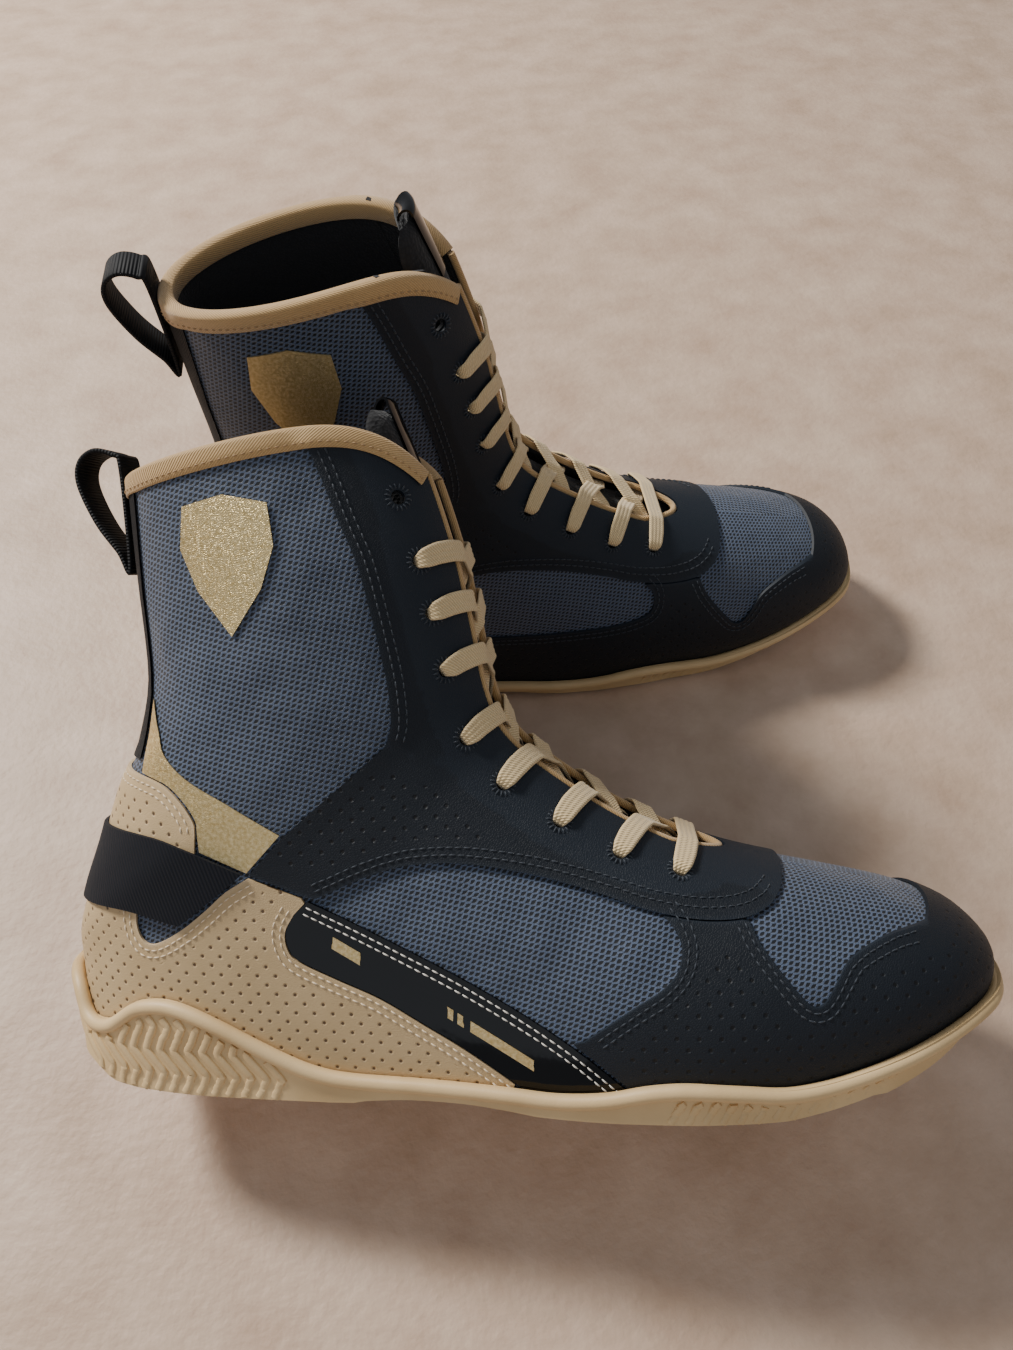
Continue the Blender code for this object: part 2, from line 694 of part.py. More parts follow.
def pull_loop(boot, mat):
    """Webbing loop at the back of the collar."""
    base = OVERLAY_T + GAP + 1.5
    outer = (
        (26.2 - base, 203.0), (22.0, 208.0), (14.0, 209.0), (8.0, 205.0), (7.5, 197.0),
        (13.0, 184.0), (20.0, 174.0), (27.0 - base, 168.0),
    )
    cx = sum(p[0] for p in outer) / len(outer)
    cz = sum(p[1] for p in outer) / len(outer)
    inner = []
    for i, (x, z) in enumerate(outer):
        a = Vector(outer[i - 1])
        b = Vector(outer[(i + 1) % len(outer)])
        t = (b - a).normalized()
        n = Vector((t.y, -t.x))
        if n.dot(Vector((cx - x, cz - z))) < 0:
            n = -n
        inner.append((x + n.x * LOOP_T, z + n.y * LOOP_T))
    obj = outline_plate(boot["prefix"] + "pull_loop", outer, inner, -LOOP_WIDTH / 2.0, LOOP_WIDTH / 2.0, boot["parts"])
    obj.hide_render = False
    obj.display_type = "TEXTURED"
    obj.data.materials.clear()
    obj.data.materials.append(mat)
    return obj


def make_boot(prefix, scene_parts, cutters):
    boot = {"prefix": prefix, "parts": scene_parts, "cutters": cutters}
    navy = material("navy_leather", (0.010, 0.016, 0.026), 0.62)
    mesh_cloth = material("slate_mesh", (0.075, 0.115, 0.22), 0.8)
    tan = material("tan_leather", (0.58, 0.43, 0.25), 0.6)
    black = material("black_lining", (0.006, 0.006, 0.008), 0.85)
    web = material("black_webbing", (0.008, 0.008, 0.01), 0.75)
    patent = material("black_patent", (0.004, 0.004, 0.006), 0.12, 0.0, 1.0)
    gold = material("gold_film", (0.62, 0.46, 0.2), 0.32, 0.9)
    bind = material("tan_binding", (0.66, 0.47, 0.23), 0.75)
    lace_mat = material("cream_lace", (0.78, 0.58, 0.32), 0.85)
    all_rows = list(range(ROW_COUNT))
    both = (-1, 1)

    def front(row):
        return 0 if row <= 6 else 2

    top = OVERLAY_T + GAP

    outsole(boot)
    foot_plate(boot, "lasting_board", material("board", (0.35, 0.25, 0.15), 0.9), 26.0, 276.0, -1.2, BOARD_T, 4.5)
    foot_plate(boot, "insole", material("insole_cloth", (0.012, 0.012, 0.015), 0.9), 22.0, 260.0,
               2.2 + LINING_T / 2.0 + 2 * GAP + 0.4, INSOLE_T, 8.5)
    inside = -MESH_T - GAP - LINING_EASE
    layer(boot, "lining", black, all_rows, both, inside - LINING_T, inside,
          first_column=front, bottom=True, inset=0.6, hem=2.2)
    split = 13
    layer(boot, "forefoot_mesh", mesh_cloth, list(range(split + 1)), both, -MESH_T, 0.0,
          first_column=front, shifts=(0.0, -0.03), inset=0.6)
    layer(boot, "shaft_mesh", mesh_cloth, list(range(split, ROW_COUNT)), both, -MESH_T, 0.0,
          first_column=front, shifts=(0.03, 0.0), inset=0.6)
    drill = eyelet_cutter(boot)
    for name, side in (("lateral", -1), ("medial", 1)):
        facing = layer(boot, "eyelet_facing_" + name, black, list(range(7, ROW_COUNT)), (side,),
                       -MESH_T - GAP - 0.7, -0.25, last_column=2)
        cut(facing, drill, "DIFFERENCE")
    # Overlays sit one gap above the cloth.
    stay = layer(boot, "eyestay", navy, list(range(4, ROW_COUNT)), both, GAP, top, last_column=COLUMNS)
    front_side = ((262.0, 90.0), (262.0, 240.0), (80.0, 240.0))
    stay_outline = list(STAY_LOW_EDGE) + [(236.0, 68.0)] + list(front_side) + list(SHAFT_MESH_EDGE) + [FILM_TIP]
    keep_inside(stay, stay_outline, stay_outline, cutters)
    cut(stay, drill, "DIFFERENCE")
    gap = 0.5
    cap = layer(boot, "toe_cap", navy, list(range(0, 13)), both, GAP, top)
    low_stay = [(x, z - gap) for x, z in STAY_LOW_EDGE if 195.0 < x < 224.0]
    cap_lateral = [(286.0, 60.0), (320.0, 60.0), (320.0, -20.0), (200.0, -20.0)]
    cap_lateral += [(x + 1.2, z + 0.6) for x, z in BAND_TOP_EDGE[::-1] if x > 165.0]
    cap_lateral += [(x, z) for x, z in QUARTER_RIGHT_EDGE[::-1]] + low_stay + list(TOE_MESH_EDGE[1:])
    cap_medial = [(286.0, 60.0), (320.0, 60.0), (320.0, -20.0), (102.0, -20.0), (99.0, 20.0)]
    cap_medial += list(MEDIAL_MESH_EDGE[::-1]) + low_stay + list(TOE_MESH_EDGE[1:])
    keep_inside(cap, cap_lateral, cap_medial, cutters)
    heel = layer(boot, "heel_quarter", tan, list(range(8, ROW_COUNT - 1)), both, GAP, top)
    notch = ((69.5, 72.8 - gap), (62.0, 68.0), (55.0, 62.0), (47.0, 55.8), (38.0, 50.5), (33.0, 50.0),
             (30.0, 54.0), (30.0, 60.0), (33.0, 66.0), (52.5, 80.0))
    heel_lateral = list(TAB_EDGE[::-1]) + [(-40.0, 107.0), (-40.0, -20.0), (168.0, -20.0)]
    heel_lateral += [(x - gap, z - gap) for x, z in BAND_LOW_EDGE[::-1]] + [(87.0, 64.5), (86.0, 66.0)]
    heel_lateral += list(notch)
    heel_medial = list(TAB_EDGE[::-1]) + [(-40.0, 107.0), (-40.0, -20.0), (101.0, -20.0), (98.0, 20.0), (97.0, 45.0)]
    heel_medial += [(92.0, 62.0), (87.5, 65.5)] + list(notch)
    keep_inside(heel, heel_lateral, heel_medial, cutters)
    for name, side in (("lateral", -1), ("medial", 1)):
        film = layer(boot, "ankle_film_" + name, gold, list(range(10, ROW_COUNT - 1)), (side,), GAP, GAP + FILM_T)
        outline = [(32.5, 104.0)] + [(x + 0.6, z + 0.6) for x, z in TAB_EDGE[2:]] + [(54.0, 80.5), (69.0, 74.0)]
        outline += [(80.0, 85.6)] + list(MESH_LOW_EDGE[:-1]) + [(35.5, 127.0)]
        place = outline_plate(film.name + "_trim", outline, None, -95.0, 95.0, cutters)
        cut(film, place, "INTERSECT")
        mark = layer(boot, "emblem_" + name, gold, list(range(17, ROW_COUNT)), (side,), GAP, GAP + EMBLEM_T)
        place = outline_plate(mark.name + "_trim", EMBLEM_OUTLINE, None, -95.0, 95.0, cutters)
        cut(mark, place, "INTERSECT")
    band = layer(boot, "side_band", patent, list(range(4, 16)), (-1,), GAP, top)
    outline = [(x, z) for x, z in BAND_TOP_EDGE] + [(x, z) for x, z in BAND_LOW_EDGE[::-1]]
    outline[5] = (196.0, -2.0)
    place = outline_plate(band.name + "_trim", outline, None, -95.0, 95.0, cutters)
    cut(band, place, "INTERSECT")
    strap = layer(boot, "heel_strap", web, list(range(13, ROW_COUNT - 1)), both, top + GAP, top + GAP + STRAP_T)
    strap_outline = list(STRAP_TOP_EDGE) + [(62.0, 69.0), (54.0, 63.0)] + list(STRAP_LOW_EDGE[::-1]) + [(-40.0, 58.0), (-40.0, 84.5)]
    keep_inside(strap, strap_outline, strap_outline, cutters)
    strip = layer(boot, "back_strip", web, list(range(17, ROW_COUNT)), both, GAP, GAP + 0.7)
    strip_outline = [(32.5, 240.0), (32.5, 160.0), (34.0, 128.0), (31.0, 108.0), (-10.0, 108.0), (-10.0, 240.0)]
    keep_inside(strip, strip_outline, strip_outline, cutters)
    tongue(boot, black, patent)
    edge, normals = collar_edge()
    tube(boot, "collar_binding", bind, beside(edge, normals, BINDING_R + GAP + 0.1, -0.5), BINDING_R)
    edge, normals = throat_edge()
    piping = beside(edge, normals, -PIPING_R - GAP - 0.1, -0.5)
    piping[0] = piping[0] + (piping[1] - piping[0]).normalized() * 2.6
    piping[-1] = piping[-1] + (piping[-2] - piping[-1]).normalized() * 2.6
    tube(boot, "throat_piping", bind, piping, PIPING_R)
    lace(boot, lace_mat)
    pull_loop(boot, web)
    return boot


def mirror_boot(objects):
    """Turn a right boot into a left one."""
    flip = Matrix.Diagonal((1.0, -1.0, 1.0, 1.0))
    for obj in objects:
        if obj.type == "CURVE":
            for spline in obj.data.splines:
                for point in spline.points:
                    point.co.y = -point.co.y
            continue
        bm = bmesh.new()
        bm.from_mesh(obj.data)
        bmesh.ops.transform(bm, matrix=flip, verts=bm.verts)
        bmesh.ops.reverse_faces(bm, faces=bm.faces)
        bm.to_mesh(obj.data)
        bm.free()


def sole_edge_line(obj):
    """The two points, one at the heel and one at the ball, that the sole's inner bottom edge rolls on."""
    graph = bpy.context.evaluated_depsgraph_get()
    mesh = obj.evaluated_get(graph).data
    low = sorted({(round(v.co.x, 6), round(v.co.y, 6)) for v in mesh.vertices if v.co.z < 2e-5})
    chain = []
    for p in low[::-1]:
        while len(chain) > 1:
            (ax, ay), (bx, by) = chain[-2], chain[-1]
            if (bx - ax) * (p[1] - ay) - (by - ay) * (p[0] - ax) > 0:
                break
            chain.pop()
        chain.append(p)
    best = max(zip(chain, chain[1:]), key=lambda e: math.hypot(e[0][0] - e[1][0], e[0][1] - e[1][1]))
    a, b = sorted(best)
    return Vector((a[0], a[1], 0.0)), Vector((b[0], b[1], 0.0))


def hinge_origin(obj, point):
    """Move an object's origin to its hinge without moving its shape."""
    bm = bmesh.new()
    bm.from_mesh(obj.data)
    bmesh.ops.translate(bm, verts=bm.verts, vec=-point)
    bm.to_mesh(obj.data)
    bm.free()
    obj.location = point


def hang(objects, empty, offset):
    for obj in objects:
        obj.parent = empty
        obj.matrix_parent_inverse = Matrix.Translation(offset)


def world_box(objects):
    graph = bpy.context.evaluated_depsgraph_get()
    points = []
    for obj in objects:
        evaluated = obj.evaluated_get(graph)
        mesh = evaluated.to_mesh()
        points += [evaluated.matrix_world @ v.co for v in mesh.vertices]
        evaluated.to_mesh_clear()
    data = np.array(points)
    return data.min(axis=0), data.max(axis=0)


def place_pair(parts, left, right):
    """The left boot stands; the right one leans on it, resting on its sole's inner edge."""
    a, b = sole_edge_line(bpy.data.objects["right_outsole"])
    axis = (b - a).normalized()
    yaw = Matrix.Rotation(math.radians(PAIR_YAW_DEG), 4, "Z")
    lean = Matrix.Rotation(-math.radians(LEAN_DEG), 4, axis)
    stand = bpy.data.objects.new("left_stand", None)
    roll = bpy.data.objects.new("right_lean_axis", None)
    parts.objects.link(stand)
    parts.objects.link(roll)
    shift = Vector((PAIR_SHIFT[0], PAIR_SHIFT[1] - LEAN_REACH * (SZ - 1.0), 0.0)) * MM
    roll.matrix_world = Matrix.Translation(shift) @ yaw @ Matrix.Translation(a) @ lean
    hang(left, stand, Vector((0, 0, 0)))
    hang(right, roll, -a)
    bpy.context.view_layer.update()
    low, high = world_box([o for o in parts.objects if o.type != "EMPTY"])
    centre = Vector(((low[0] + high[0]) / 2.0, (low[1] + high[1]) / 2.0, low[2]))
    for empty in (stand, roll):
        empty.location = empty.location - centre
    bpy.context.view_layer.update()


def main():
    for obj in list(bpy.data.objects):
        bpy.data.objects.remove(obj)
    scene = bpy.context.scene
    scene.unit_settings.system = "METRIC"
    parts = bpy.data.collections.new("boxing_boots")
    cutters = bpy.data.collections.new("cutters")
    scene.collection.children.link(parts)
    scene.collection.children.link(cutters)
    boots = {}
    for name in ("right", "left"):
        before = set(bpy.data.objects)
        make_boot(name + "_", parts, cutters)
        made = [obj for obj in bpy.data.objects if obj not in before]
        if name == "left":
            mirror_boot(made)
        root = on_section(5.3, 0.0, -1, -TONGUE_DROP - TONGUE_T) * MM
        tab = Vector((23.0 * SX, 0.0, 186.0 * SZ)) * MM
        hinge_origin(bpy.data.objects[name + "_tongue"], Vector((root.x, root.y if name == "right" else -root.y, root.z)))
        hinge_origin(bpy.data.objects[name + "_pull_loop"], tab)
        boots[name] = made
    place_pair(parts, boots["left"], boots["right"])


main()
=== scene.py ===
import json
import math

import bmesh
import bpy
import numpy as np
from mathutils import Matrix, Vector


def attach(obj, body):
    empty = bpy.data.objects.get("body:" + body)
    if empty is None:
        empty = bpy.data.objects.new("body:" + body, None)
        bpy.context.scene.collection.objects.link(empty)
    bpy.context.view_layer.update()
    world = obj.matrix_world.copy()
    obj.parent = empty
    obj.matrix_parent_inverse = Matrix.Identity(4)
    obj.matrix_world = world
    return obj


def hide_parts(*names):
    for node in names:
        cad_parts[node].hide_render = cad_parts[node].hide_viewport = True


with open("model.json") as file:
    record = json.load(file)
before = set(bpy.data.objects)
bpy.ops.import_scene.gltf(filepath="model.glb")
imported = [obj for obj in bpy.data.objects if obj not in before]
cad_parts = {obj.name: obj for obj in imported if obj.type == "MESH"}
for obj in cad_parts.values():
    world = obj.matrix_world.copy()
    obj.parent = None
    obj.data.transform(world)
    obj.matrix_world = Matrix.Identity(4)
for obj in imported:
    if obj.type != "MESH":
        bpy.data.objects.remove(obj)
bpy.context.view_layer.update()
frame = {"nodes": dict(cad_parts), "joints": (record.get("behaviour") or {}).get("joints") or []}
mm = 0.001

# The camera looks down on the pair from the outer side of the leaning boot, rolled a little.
cameraSet = {
    "place": (-27.7, -224.1, 386.8),
    "heading": 5.16,
    "pitch": 52.03,
    "roll": 3.01,
    "lens": 36.04,
    "nearest": 0.02,
}


def makeCamera(settings):
    data = bpy.data.cameras.new("sceneCamera")
    data.sensor_fit = "HORIZONTAL"
    data.sensor_width = 36.0
    data.lens = settings["lens"]
    data.clip_start = settings["nearest"]
    camera = bpy.data.objects.new("sceneCamera", data)
    bpy.context.scene.collection.objects.link(camera)
    heading = math.radians(settings["heading"])
    pitch = math.radians(settings["pitch"])
    roll = math.radians(settings["roll"])
    flat = math.cos(pitch)
    forward = Vector((math.sin(heading) * flat, math.cos(heading) * flat, -math.sin(pitch)))
    level = Vector((math.cos(heading), -math.sin(heading), 0.0))
    upright = level.cross(forward)
    right = level * math.cos(roll) - upright * math.sin(roll)
    up = level * math.sin(roll) + upright * math.cos(roll)
    turn = Matrix((right, up, -forward)).transposed().to_4x4()
    camera.matrix_world = Matrix.Translation(Vector(settings["place"]) * mm) @ turn
    bpy.context.scene.camera = camera


makeCamera(cameraSet)
print("camera is set")

# Both boots are drawn as a right boot, heel near x 0, toe towards +x, outer side at -y, in millimetres.
bootShape = {
    "fan": (
        (299.3, 33.0, 297.5, 28.0, 4.0, 150.0),
        (300.0, 39.0, 289.5, 23.5, 21.0, 128.0),
        (292.0, 49.0, 271.5, 16.8, 34.0, 116.0),
        (275.0, 57.0, 249.0, 10.6, 42.0, 112.0),
        (250.0, 63.0, 225.0, 7.2, 46.0, 110.0),
        (231.0, 67.0, 202.0, 5.8, 47.5, 110.0),
        (218.0, 70.5, 182.0, 5.6, 47.0, 110.0),
        (201.0, 77.0, 160.0, 6.2, 45.0, 111.0),
        (184.0, 86.0, 137.0, 6.6, 42.0, 112.0),
        (167.0, 98.0, 110.0, 6.6, 39.5, 114.0),
        (154.0, 109.0, 82.0, 6.0, 38.0, 117.0),
        (147.5, 118.0, 54.0, 5.5, 37.0, 121.0),
        (144.5, 127.0, 30.0, 5.5, 36.5, 130.0),
        (143.0, 134.0, 9.0, 11.0, 36.0, 146.0),
        (142.0, 140.0, 0.0, 26.0, 36.0, 165.0),
        (141.0, 146.0, -2.5, 42.0, 36.0, 180.0),
        (140.0, 152.0, 1.5, 58.0, 35.5, 180.0),
        (138.5, 159.0, 8.5, 76.0, 35.0, 180.0),
        (137.0, 167.0, 15.0, 94.0, 34.5, 180.0),
        (134.0, 178.0, 24.0, 112.0, 34.0, 180.0),
        (130.5, 190.0, 28.5, 135.0, 33.0, 180.0),
        (126.5, 202.0, 27.0, 166.0, 32.0, 180.0),
        (122.0, 214.0, 26.0, 197.0, 31.0, 180.0),
        (118.0, 225.0, 26.0, 209.0, 30.5, 180.0),
    ),
    "toeIn": 5.0,
    "innerNarrow": 0.12,
    "fullness": 0.92,
    "throatGap": 26.0,
    "facingWidth": 25.0,
    "arcSteps": 60,
}

sideLines = {
    "toeMesh": (
        (222.0, 57.0), (225.0, 51.0), (232.0, 42.0), (238.0, 35.5), (242.0, 36.0),
        (246.0, 41.0), (250.0, 46.0), (256.0, 49.0), (265.0, 51.5), (277.0, 52.5),
    ),
    "stayLow": (
        (70.0, 73.5), (88.0, 66.5), (93.0, 67.0), (104.0, 71.5), (116.0, 75.0), (128.0, 76.0),
        (141.0, 75.0), (159.0, 71.5), (179.0, 65.5), (191.0, 61.5), (203.0, 58.8),
        (213.0, 57.8), (222.0, 58.2), (229.0, 60.5), (233.0, 63.5),
    ),
    "shaftMesh": (
        (91.0, 209.0), (97.0, 195.0), (102.0, 181.0), (107.0, 168.0), (110.0, 155.0),
        (112.5, 142.0), (114.5, 130.0), (115.0, 118.0), (113.0, 111.5),
    ),
    "meshLow": ((64.0, 95.5), (50.0, 103.0), (42.0, 110.0), (39.0, 117.0), (34.0, 127.0)),
    "tab": ((14.0, 105.5), (30.0, 103.5), (41.0, 101.0), (48.0, 96.0), (52.5, 90.0), (53.0, 86.0)),
    "bandTop": ((88.0, 65.0), (115.0, 52.0), (142.0, 38.5), (168.0, 23.5), (186.0, 9.0), (192.0, 3.0)),
    "bandLow": (
        (84.0, 61.5), (81.0, 56.0), (81.5, 50.5), (85.0, 46.5), (97.0, 41.0), (110.0, 35.5),
        (123.0, 28.0), (136.0, 20.5), (148.0, 12.5), (158.0, 5.0), (162.0, 0.0),
    ),
    "quarterRight": (
        (196.5, 59.4), (199.5, 56.0), (201.5, 51.0), (200.0, 45.0), (195.0, 40.0),
        (186.0, 34.5), (172.0, 25.0),
    ),
    "innerMesh": (
        (197.0, 59.2), (200.5, 55.0), (200.0, 49.0), (195.0, 45.0), (180.0, 42.0),
        (150.0, 40.5), (118.0, 41.5), (98.0, 46.0),
    ),
    "notch": (
        (69.5, 72.3), (62.0, 68.0), (55.0, 62.0), (47.0, 55.8), (38.0, 50.5), (33.0, 50.0),
        (30.0, 54.0), (30.0, 60.0), (33.0, 66.0),
    ),
    "strapTop": ((4.0, 84.5), (20.0, 85.5), (38.0, 84.5), (52.0, 80.5), (68.0, 74.0)),
    "strapLow": ((-8.0, 59.0), (10.0, 60.5), (27.0, 60.5), (46.0, 57.0)),
    "soleTop": (
        (-12.0, 38.0), (0.0, 33.0), (6.0, 24.0), (12.0, 22.0), (19.0, 24.0), (28.0, 30.5),
        (38.0, 32.5), (47.0, 31.0), (58.0, 26.5), (68.0, 21.5), (78.0, 16.5), (88.0, 12.5),
        (100.0, 10.5), (125.0, 10.0), (150.0, 9.2), (164.0, 8.6), (178.0, 10.0), (190.0, 12.8),
        (202.0, 14.0), (217.0, 13.0), (230.0, 11.8), (242.0, 13.0), (254.0, 15.8),
        (267.0, 19.5), (280.0, 24.0), (293.0, 29.5), (303.0, 33.5), (312.0, 38.0),
    ),
    "soleLow": (
        (312.0, 34.0), (301.0, 27.0), (291.0, 19.0), (279.0, 13.0), (265.0, 8.0), (252.0, 4.4),
        (238.0, 1.6), (222.0, 0.0), (165.0, 0.0), (150.0, 1.2), (135.0, 2.4), (118.0, 2.4),
        (104.0, 1.2), (92.0, 0.0), (26.0, 0.0), (12.0, 3.5), (2.0, 11.0), (-6.0, 22.0), (-12.0, 32.0),
    ),
    "shield": (
        (53.0, 187.0), (67.0, 190.0), (81.0, 187.0), (82.5, 174.0), (78.0, 161.0), (68.0, 147.0),
        (57.0, 161.0), (51.5, 174.0),
    ),
}

layers = {
    "clothIn": -0.8,
    "liningIn": -2.8,
    "liningOut": -1.3,
    "overIn": 0.3,
    "overOut": 1.3,
    "filmOut": 0.8,
    "strapIn": 1.6,
    "strapOut": 2.8,
    "soleClear": 1.9,
    "soleWall": 2.0,
}
overLayer = (layers["overIn"], layers["overOut"])
filmLayer = (layers["overIn"], layers["filmOut"])


def curveThrough(values):
    y = np.array(values, float)
    step = np.diff(y)
    slope = np.zeros(len(y))
    slope[0] = step[0]
    slope[-1] = step[-1]
    same = step[:-1] * step[1:] > 0
    slope[1:-1] = np.where(same, 2.0 * step[:-1] * step[1:] / np.where(same, step[:-1] + step[1:], 1.0), 0.0)

    def at(k):
        k = np.clip(np.asarray(k, float), 0.0, len(y) - 1.0)
        i = np.minimum(k.astype(int), len(y) - 2)
        t = k - i
        near = (1 + 2 * t) * (1 - t) ** 2 * y[i] + t * (1 - t) ** 2 * slope[i]
        return near + t * t * (3 - 2 * t) * y[i + 1] + t * t * (t - 1) * slope[i + 1]
    return at


fanCurves = [curveThrough([row[i] for row in bootShape["fan"]]) for i in range(6)]
lastSection = len(bootShape["fan"]) - 1.0


def sectionAt(k):
    frontX, frontZ, backX, backZ, half, end = [curve(k) for curve in fanCurves]
    return frontX, frontZ, backX, backZ, half, np.radians(end)


def skinAt(k, phi, side):
    frontX, frontZ, backX, backZ, half, end = sectionAt(k)
    angle = phi * end
    t = (1 - np.cos(angle)) / (1 - np.cos(end))
    x = frontX + t * (backX - frontX)
    z = frontZ + t * (backZ - frontZ)
    inner = 1 - bootShape["innerNarrow"] * t * np.clip((x - 150.0) / 60.0, 0, 1)
    width = half * np.where(np.asarray(side) < 0, 1.0, inner)
    y = side * width * np.maximum(np.sin(angle), 0.0) ** bootShape["fullness"]
    y = y + bootShape["toeIn"] * (np.maximum(x, 0.0) / 300.0) ** 2
    return np.stack(np.broadcast_arrays(x, y, z), -1)


def skinNormal(k, phi, side):
    k = np.asarray(k, float)
    phi = np.asarray(phi, float)
    low = np.clip(k, 0.02, lastSection - 0.02)
    middle = np.clip(phi, 0.012, 0.988)
    dk = skinAt(low + 0.02, middle, side) - skinAt(low - 0.02, middle, side)
    dp = skinAt(low, middle + 0.01, side) - skinAt(low, middle - 0.01, side)
    n = np.cross(dk, dp) * np.where(np.asarray(side) > 0, -1.0, 1.0)[..., None]
    flat = (phi < 0.012) | ((phi > 0.988) & (sectionAt(k)[5] > 2.9))
    n[..., 1] = np.where(flat, 0.0, n[..., 1])
    return n / np.maximum(np.linalg.norm(n, axis=-1, keepdims=True), 1e-9)


def arcTable(k):
    phi = np.linspace(0, 1, bootShape["arcSteps"] + 1)
    points = skinAt(np.asarray(k, float)[..., None], phi, -1)
    steps = np.linalg.norm(np.diff(points, axis=-2), axis=-1)
    return np.concatenate([np.zeros(steps.shape[:-1] + (1,)), np.cumsum(steps, -1)], -1)


def phiAt(k, distance):
    table = arcTable(k)
    distance = np.broadcast_to(np.asarray(distance, float), table.shape[:-1])
    i = np.clip((table <= distance[..., None]).sum(-1) - 1, 0, table.shape[-1] - 2)
    a = np.take_along_axis(table, i[..., None], -1)[..., 0]
    b = np.take_along_axis(table, i[..., None] + 1, -1)[..., 0]
    t = np.clip((distance - a) / np.maximum(b - a, 1e-9), 0, 1)
    return (i + t) / bootShape["arcSteps"]


def locate(points):
    x, z = np.array(points, float).T
    k = np.linspace(0, lastSection, 1400)
    frontX, frontZ, backX, backZ, half, end = sectionAt(k)
    dx = backX - frontX
    dz = backZ - frontZ
    t = ((x[:, None] - frontX) * dx + (z[:, None] - frontZ) * dz) / (dx * dx + dz * dz)
    inside = np.clip(t, 0, 1)
    off = np.hypot(frontX + inside * dx - x[:, None], frontZ + inside * dz - z[:, None])
    best = off.argmin(1)
    t = inside[np.arange(len(x)), best]
    end = end[best]
    phi = np.arccos(np.clip(1 - t * (1 - np.cos(end)), -1, 1)) / end
    return k[best], phi


def flatPattern(k, phi):
    table = arcTable(k)
    steps = bootShape["arcSteps"]
    place = np.clip(phi * steps, 0, steps - 1e-6)
    i = place.astype(int)
    t = place - i
    a = np.take_along_axis(table, i[..., None], -1)[..., 0]
    b = np.take_along_axis(table, i[..., None] + 1, -1)[..., 0]
    run = a + (b - a) * t - table[..., steps // 2]
    middle = skinAt(k, np.full_like(phi, 0.5), -1)
    frontX, frontZ, backX, backZ, half, end = sectionAt(k)
    length = np.hypot(backX - frontX, backZ - frontZ)
    u = middle[..., 0] + run * (backX - frontX) / length
    v = middle[..., 2] + run * (backZ - frontZ) / length
    return np.stack([u, v], -1)


def throatHalf(k):
    return bootShape["throatGap"] / 2.0 * np.clip(np.asarray(k, float) - 6.0, 0, 1) ** 0.5


def facingEdge(k):
    total = arcTable(k)[..., -1]
    return throatHalf(k) + bootShape["facingWidth"] * np.minimum(1.0, total / 60.0)


def collarSection(gap):
    return 22.0 - 1.5 * np.exp(-np.asarray(gap, float) / 9.0)


def sampled(points, per=5, closed=False):
    p = np.array(points, float)
    n = len(p)
    out = []
    spans = n if closed else n - 1
    for i in range(spans):
        if closed:
            a, b, c, d = p[i - 1], p[i], p[(i + 1) % n], p[(i + 2) % n]
        else:
            b, c = p[i], p[i + 1]
            a = p[i - 1] if i else 2 * b - c
            d = p[i + 2] if i + 2 < n else 2 * c - b
        for j in range(per):
            t = j / per
            bend = (2 * a - 5 * b + 4 * c - d) * t * t + (3 * b - a - 3 * c + d) * t ** 3
            out.append(0.5 * (2 * b + (c - a) * t + bend))
    if not closed:
        out.append(p[-1])
    return np.array(out)


def line(name, per=4):
    return [tuple(p) for p in sampled(sideLines[name], per)]


# Mesh helpers. Shapes are drawn in millimetres and stored in metres.
workShelf = bpy.data.collections.new("workShelf")
bpy.context.scene.collection.children.link(workShelf)


def meshOf(name, points, faces, uv=None, weld=0.02):
    mesh = bpy.data.meshes.new(name)
    places = [tuple(p) for p in np.asarray(points, float) * mm]
    mesh.from_pydata(places, [], [tuple(int(i) for i in face) for face in faces])
    if uv is not None:
        layer = mesh.uv_layers.new(name="pattern")
        corner = np.array([loop.vertex_index for loop in mesh.loops])
        layer.data.foreach_set("uv", (np.asarray(uv, float)[corner] * 0.01).ravel())
    if weld:
        bm = bmesh.new()
        bm.from_mesh(mesh)
        bmesh.ops.remove_doubles(bm, verts=bm.verts, dist=weld * mm)
        bmesh.ops.recalc_face_normals(bm, faces=bm.faces)
        bm.to_mesh(mesh)
        bm.free()
    return mesh


def workObject(name, mesh):
    obj = bpy.data.objects.new(name, mesh)
    workShelf.objects.link(obj)
    return obj


def thickened(obj, thickness):
    mod = obj.modifiers.new("thickness", "SOLIDIFY")
    mod.thickness = thickness * mm
    mod.offset = 0.0
    return obj


def applied(obj):
    graph = bpy.context.evaluated_depsgraph_get()
    graph.update()
    mesh = bpy.data.meshes.new_from_object(obj.evaluated_get(graph))
    bpy.data.objects.remove(obj)
    return mesh


def smoothFaces(mesh, corner=38.0):
    bm = bmesh.new()
    bm.from_mesh(mesh)
    limit = math.radians(corner)
    for face in bm.faces:
        face.smooth = True
    for edge in bm.edges:
        edge.smooth = len(edge.link_faces) == 2 and edge.calc_face_angle(0.0) < limit
    bm.to_mesh(mesh)
    bm.free()
    return mesh


def gridFaces(rows, columns, start=0):
    index = start + np.arange(rows * columns).reshape(rows, columns)
    quads = np.stack([index[:-1, :-1], index[1:, :-1], index[1:, 1:], index[:-1, 1:]], -1)
    return quads.reshape(-1, 4)


